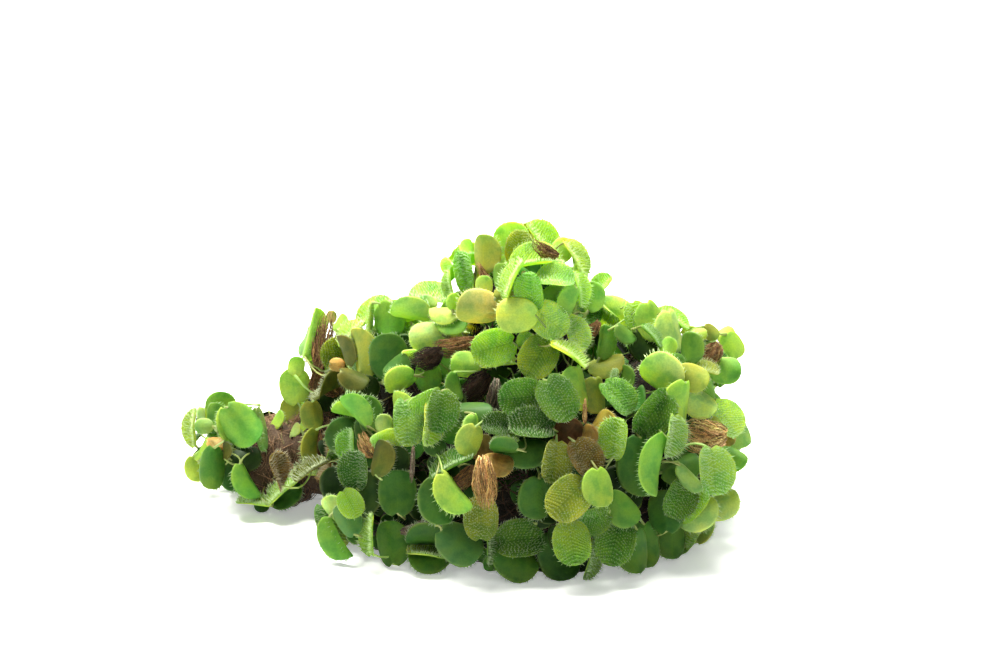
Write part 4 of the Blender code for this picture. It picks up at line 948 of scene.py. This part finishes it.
# Finer ones that the solids leave out, with their plant and how near they hang
FINE_TUFTS = {
    "sprig_column": [(316, 366, 311, 399, 7, "root", -6), (334, 396, 318, 378, 6, "root", -9),
                     (340, 376, 336, 397, 5, "root", -9)],
    "sprig_tail_low": [(312, 434, 318, 466, 7, "root", -4), (330, 440, 326, 470, 6, "straw", -2),
                       (338, 470, 314, 480, 6, "sand", -2)],
}
TUFT_STRANDS = 200
TUFT_STEPS = 8
TUFT_DROOP = 0.8


def tuft_at(x0, y0, x1, y1, wide, finish, away):
    """Thick end, tip, half width and colour of a tuft from its place in the front view."""
    return from_view(x0, y0, away), from_view(x1, y1, away), wide * UNIT, TUFT_COLOURS[finish]


def find_tufts(node, corners):
    """The tufts of a solid: a tip that stands exactly where the front view shows one gives its
    depth."""
    seen_x, seen_y = in_view(corners)
    depth = (corners + PLAN_SHIFT) @ VIEW_NEAR
    found = [tuft_at(*tuft) for tuft in FINE_TUFTS.get(node, [])]
    for tuft in TUFTS:
        at_tip = np.hypot(seen_x - tuft[2], seen_y - tuft[3]) < 0.15
        if at_tip.any():
            found.append(tuft_at(*tuft, depth[at_tip].max()))
    return found


def add_tufts(build, tufts, rng):
    """Brushes of wavy strands that part from the thick end, spread and end at uneven lengths."""
    for start, end, wide, colour in tufts:
        count = int(TUFT_STRANDS * min(1.0, 0.20 + wide / 3.0))
        axis = end - start
        across = unit(np.cross(axis, VIEW_NEAR))
        deep = np.cross(across, unit(axis))
        turn = rng.uniform(0, 2 * math.pi, (count, 1))
        reach = np.sqrt(rng.uniform(0, 1, (count, 1)))
        begin = rng.uniform(-0.08, 0.22, (count, 1)) * reach
        length = rng.uniform(0.35, 1.12, (count, 1))
        share = begin + (length - begin) * np.linspace(0, 1, TUFT_STEPS)[None, :]
        swell = 0.30 + 0.95 * np.sin(math.pi * np.clip(share * 0.72 + 0.10, 0, 1))
        wave, curl = [
            0.16 * np.sin(share * rng.uniform(4, 14, (count, 1)) + rng.uniform(0, 6, (count, 1)))
            for _ in range(2)]
        side = (reach * np.cos(turn) * swell + wave) * wide * 0.95
        back = (reach * np.sin(turn) * swell + curl) * wide * 0.75
        paths = start + axis * share[..., None] + across * side[..., None] + deep * back[..., None]
        paths[..., 2] -= TUFT_DROOP * np.sin(math.pi * share)
        lift_to(paths, 0.3)
        radii = rng.uniform(0.07, 0.19, (count, 1)) * (1.05 - 0.75 * share)
        tones = np.array(colour) * rng.uniform(0.30, 1.8, (count, 1))
        build.add_strands(paths, radii, 2, tones * rng.uniform(0.85, 1.15, (count, 3)))


sprigs = {node: welded(node) for node in sorted(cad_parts) if node.startswith("sprig_")}
found_blades = {node: find_blades(*solid) for node, solid in sprigs.items()}


def joined_tree(shells):
    """One tree of faces from several lists of corners and faces."""
    corners, faces = [], []
    for points, sides in shells:
        faces.extend([int(corner) + len(corners) for corner in side] for side in sides)
        corners.extend(np.asarray(points).tolist())
    return BVHTree.FromPolygons(corners, faces)


leaves_tree = joined_tree(blade_lens(*blade, gap=0.0) for blades, _, _ in found_blades.values()
                          for blade in blades)
outer_middles = []
for number, (node, (corners, _)) in enumerate(sprigs.items()):
    blades, blade_rings, linked = found_blades[node]
    rings = find_rings(corners, linked, blade_rings)
    leaf, rng = stack(blades + front_blades(node), number + 100)
    colours = leaf_tones(leaf, rng)
    outer_middles.extend(leaf["middle"][:, 0, 0])
    build = Build()
    add_blades(build, leaf, colours, rng)
    add_hairs(build, leaf, colours, rng)
    add_stems(build, stem_curves(rings, linked, blades, leaves_tree), rng)
    add_tufts(build, find_tufts(node, corners), rng)
    plant = build.make(node.replace("sprig", "plant"), [leaf_blade, leaf_hair, root_fibre])
    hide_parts(node)
    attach(plant, "root")

# Inner leaves
# Under the outer leaves the heap is full of smaller, shaded ones that lie close on the mat of
# roots. They are seen in the gaps, each on a short stalk out of the mat.

# How many spots are tried over the mat, and how many times more on its dry lobes
INNER_TRIES = 4200
DRY_TRIES = 6.0
# How far an inner leaf may lie from the outer ones, and out from the mat's middle
INNER_REACH = 4.0
INNER_OUT = 1.45
# Step, ring of lines round each gap and leaf sizes, for wide gaps and narrow ones
WIDE_GAPS = (3.0, 5.5, (7.5, 10.5))
NARROW_GAPS = (1.5, 3.2, (4.0, 6.5))
# Turn and tilt of each view, and the gaps looked for
SIDE_VIEWS = [(turn, 20 if turn % 90 else 15, *WIDE_GAPS) for turn in range(45, 360, 45)]
GAP_VIEWS = [(0, 17, *WIDE_GAPS), (0, 17, *NARROW_GAPS), *SIDE_VIEWS, (0, 89, *WIDE_GAPS)]
GAP_BACK = (2.0, 4.0, 6.0, 9.0, 13.0, 18.0)
# Dark tones for the inner leaves: partly their own colour, partly painted shade
INNER_TONES = ("deep", "shade", "shade", "shade", "deep", "grass", "deep", "shade")
EYE_AWAY = 300


class Heap:
    """The solids of the outer leaves and the inner leaves so far, to keep each new one clear."""

    def __init__(self):
        self.outer = joined_tree(sprigs.values())
        self.mat = joined_tree([welded("root_mass")])
        self.trees = []
        self.kept = []
        for blade in [blade for node in FRONT_LEAVES for blade in front_blades(node)]:
            self.trees.append(joined_tree([blade_lens(*blade)]))
            self.kept.append((blade, 0))

    def filled(self, start, way):
        """Whether an inner leaf already lies on a line."""
        if not self.kept:
            return False
        apart = np.array([blade[0] for blade, _ in self.kept]) - start
        apart -= way * (apart @ way)[:, None]
        near = np.flatnonzero(np.linalg.norm(apart, axis=1) < 6)
        return any(sight(self.trees[k], start, way) is not None for k in near)

    def well_placed(self, points, lobe):
        """How many of the points lie, in the front view, behind an outer leaf or the mat, or in a
        gap over the wet part of the mat."""
        seen = 0
        for point in points:
            eye = point + VIEW_NEAR * EYE_AWAY
            leaf_far, mat_far = sight(self.outer, eye, -VIEW_NEAR), sight(self.mat, eye, -VIEW_NEAR)
            if leaf_far is not None and leaf_far < EYE_AWAY:
                seen += 1
            elif leaf_far is None and mat_far is not None:
                seen += mat_far < EYE_AWAY or lobe < FIRST_DRY_LOBE
        return seen

    def try_blade(self, spot, face, rng, size, lobe):
        """Keep a leaf at a spot if it is clear of the ground and of the other leaves and stays
        within the heap's outline."""
        along = unit(np.cross(face, rng.normal(size=3)))
        blade = (spot, along, np.cross(face, along), face, size, rng.choice([5.0, 10.0, 20.0]))
        points, faces = blade_lens(*blade)
        if min(point[2] for point in points) < 0.5 or self.well_placed(points[:8], lobe) < 7:
            return False
        away = min(self.outer.find_nearest(Vector(spot))[3], self.mat.find_nearest(Vector(spot))[3])
        if away > INNER_REACH or mat_depth(spot[None])[0][0] > INNER_OUT:
            return False
        tree = joined_tree([(points, faces)])
        if tree.overlap(self.outer):
            return False
        for (other, _), of_other in zip(self.kept, self.trees):
            if np.linalg.norm(other[0] - spot) < 13 and tree.overlap(of_other):
                return False
        self.trees.append(tree)
        self.kept.append((blade, lobe))
        return True


def fill_gaps(heap, rng):
    """From several sides, put a leaf behind each gap between leaves that lets the mat or the light
    through: where a line of sight misses while most of those around it meet leaves."""
    for turn, tilt, pace, ring, sizes in GAP_VIEWS:
        turn, tilt = math.radians(turn), math.radians(tilt)
        across = np.array([math.cos(turn), math.sin(turn), 0.0])
        flat = np.array([math.sin(turn), -math.cos(turn), 0.0])
        near = flat * math.cos(tilt) + np.array([0.0, 0.0, math.sin(tilt)])
        up = np.cross(near, across)
        turns = np.arange(8) * math.pi / 4
        around = [(across * math.cos(a) + up * math.sin(a)) * ring for a in turns]
        for u, v in itertools.product(np.arange(-90, 91, pace), np.arange(-45, 95, pace)):
            eye = across * u + up * v + near * 200
            if sight(heap.outer, eye, -near) is not None:
                continue
            far = [sight(heap.outer, eye + step, -near) for step in around]
            far = [reach for reach in far if reach is not None]
            if len(far) < 6 or heap.filled(eye, -near):
                continue
            for back in GAP_BACK:
                spot = eye - near * (np.median(far) + back)
                depth, lobe = mat_depth(spot[None])
                face = unit(near + rng.normal(0, 0.35, 3))
                if depth[0] > 1 and heap.try_blade(spot, face, rng, rng.uniform(*sizes), lobe[0]):
                    break


def cover_mat(heap, rng, outer):
    """Scatter leaves over the mat's lobes and under the outer leaves."""
    weights = np.array([rx * ry + rx * rz + ry * rz for _, _, _, rx, ry, rz in ROOT_LOBES])
    weights[FIRST_DRY_LOBE:] *= DRY_TRIES
    picked = rng.choice(len(ROOT_LOBES), INNER_TRIES, p=weights / weights.sum())
    way = unit(rng.normal(size=(INNER_TRIES, 3))) * ROOT_LOBES[picked, 3:]
    over_mat = ROOT_LOBES[picked, :3] + way * rng.uniform(1.02, 1.16, (INNER_TRIES, 1))
    under = outer[rng.integers(len(outer), size=INNER_TRIES)]
    under = under + into_mat(under) * rng.uniform(3, 10, (INNER_TRIES, 1))
    under += rng.normal(0, 3.5, (INNER_TRIES, 3))
    spots = np.where(rng.random((INNER_TRIES, 1)) < 0.45, over_mat - PLAN_SHIFT, under)
    depth, lobe = mat_depth(spots)
    for spot, out, k in zip(spots[depth > 1], depth[depth > 1], lobe[depth > 1]):
        core = ROOT_LOBES[k, :3] - PLAN_SHIFT
        face = unit((spot - core) / ROOT_LOBES[k, 3:] ** 2) + rng.normal(0, 0.45, 3)
        face *= (1 if rng.random() < 0.6 else -1) / np.linalg.norm(face)
        edges = spot + rng.normal(0, 3.5, (5, 3))
        covered = sum(sight(heap.outer, edge, edge - core) is not None for edge in edges)
        if spot[2] > 5 and (out < 1.2 or covered > 3):
            heap.try_blade(spot, face, rng, rng.uniform(6.5, 10.5), k)


def make_inner_leaves():
    """One piece with the inner leaves, without hairs where no one sees them, and their stalks."""
    rng = np.random.default_rng(21)
    heap = Heap()
    fill_gaps(heap, rng)
    cover_mat(heap, rng, np.array(outer_middles))
    kept = heap.kept[len(FRONT_LEAVES):]
    leaf, rng = stack([blade for blade, _ in kept], 22)
    picked = rng.integers(len(INNER_TONES), size=len(kept))
    tones = np.array([TONE_COLOURS[INNER_TONES[k]] for k in picked])
    height = np.array([blade[0][2] for blade, _ in kept])[:, None] / HEAP_HEIGHT
    # Painted shade: inner leaves lying low in the heap are darkened, and those high in it lightened
    tones = tones * (0.45 + 1.9 * np.clip(height - 0.25, 0, 1))
    tones = tones * rng.uniform(0.8, 1.3, (len(kept), 1))
    build = Build()
    add_blades(build, leaf, tones, rng, 7, 5)
    build.marks[0][:, 2] *= 0.3
    share = np.linspace(0, 1, 6)[:, None]
    paths = []
    for (spot, along, _, face, size, _), lobe in kept:
        core, radii = ROOT_LOBES[lobe, :3] - PLAN_SHIFT, ROOT_LOBES[lobe, 3:]
        start = spot - along * size * 0.5 - face * size * 0.05
        bend = start - along * 2.5
        end = core + (start - core) * min(0.9 / np.linalg.norm((start - core) / radii), 1.0)
        paths.append((1 - share) ** 2 * start + 2 * share * (1 - share) * bend + share ** 2 * end)
    paths = np.array(paths)
    lift_to(paths, 0.6)
    add_stems(build, paths, rng, 4)
    inner = build.make("inner_leaves", [leaf_blade, leaf_hair, root_fibre])
    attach(inner, "root")


make_inner_leaves()

# Floor, light and camera
# The heap lies on a plain white surface under broad soft light from above and behind.

FLOOR_SIZE = 6.0
CAMERA_AWAY = 2.0
PICTURE_WIDE = 0.280
SENSOR = 36.0

corners = [(x * FLOOR_SIZE, y * FLOOR_SIZE, 0.0) for x, y in ((-1, -1), (1, -1), (1, 1), (-1, 1))]
mesh = bpy.data.meshes.new("floor")
mesh.from_pydata(corners, [], [(0, 1, 2, 3)])
floor = placed("floor", mesh)
white, paint, skin, _ = new_material("white_surface")
paint.put(skin, {"Base Color": (0.92, 0.94, 0.93), "Roughness": 0.7,
                 "Emission Color": (0.97, 1.0, 0.98), "Emission Strength": 0.35})
mesh.materials.append(white)

# Broad square lights turned to the heap: place, size, power and tint
AIM = np.array([0.0, 0.0, 0.05])
for name, place, size, power, tint in (
        ("top_light", (-0.14, 0.20, 0.82), 0.50, 39.0, (1.0, 0.98, 0.92)),
        ("back_light", (0.25, 0.95, 0.60), 0.8, 11.0, (1.0, 1.0, 0.95)),
        ("front_fill", (0.30, -1.2, 0.75), 0.9, 6.2, (1.0, 1.0, 0.95))):
    lamp = bpy.data.lights.new(name, "AREA")
    lamp.size = size
    lamp.energy = power
    lamp.color = tint
    light = placed(name, lamp)
    light.location = place
    light.rotation_mode = "QUATERNION"
    light.rotation_quaternion = Vector(AIM - np.array(place)).to_track_quat("-Z", "Y")

# The sky is white to the camera and dim to the heap
world = bpy.data.worlds.new("studio")
world.use_nodes = True
paint = Paint(world.node_tree)
seen = paint.node("LightPath")["Is Camera Ray"]
strength = paint.node("MapRange", {"Value": seen, "To Min": 0.03, "To Max": 1.10})["Result"]
paint.put(world.node_tree.nodes["Background"], {"Color": (1, 1, 1), "Strength": strength})
bpy.context.scene.world = world
bpy.context.scene.view_settings.view_transform = "Standard"

centre = (VIEW_ACROSS * 10.6 + VIEW_UP * 54.5 + VIEW_NEAR * 30.0 - PLAN_SHIFT) * MM
lens = bpy.data.cameras.new("camera")
lens.sensor_width = SENSOR
lens.lens = SENSOR * CAMERA_AWAY / PICTURE_WIDE
lens.clip_start = 0.1
lens.clip_end = 20.0
camera = placed("camera", lens)
camera.location = centre + VIEW_NEAR * CAMERA_AWAY
camera.rotation_euler = (math.pi / 2 - LOOK, 0.0, 0.0)
bpy.context.scene.camera = camera
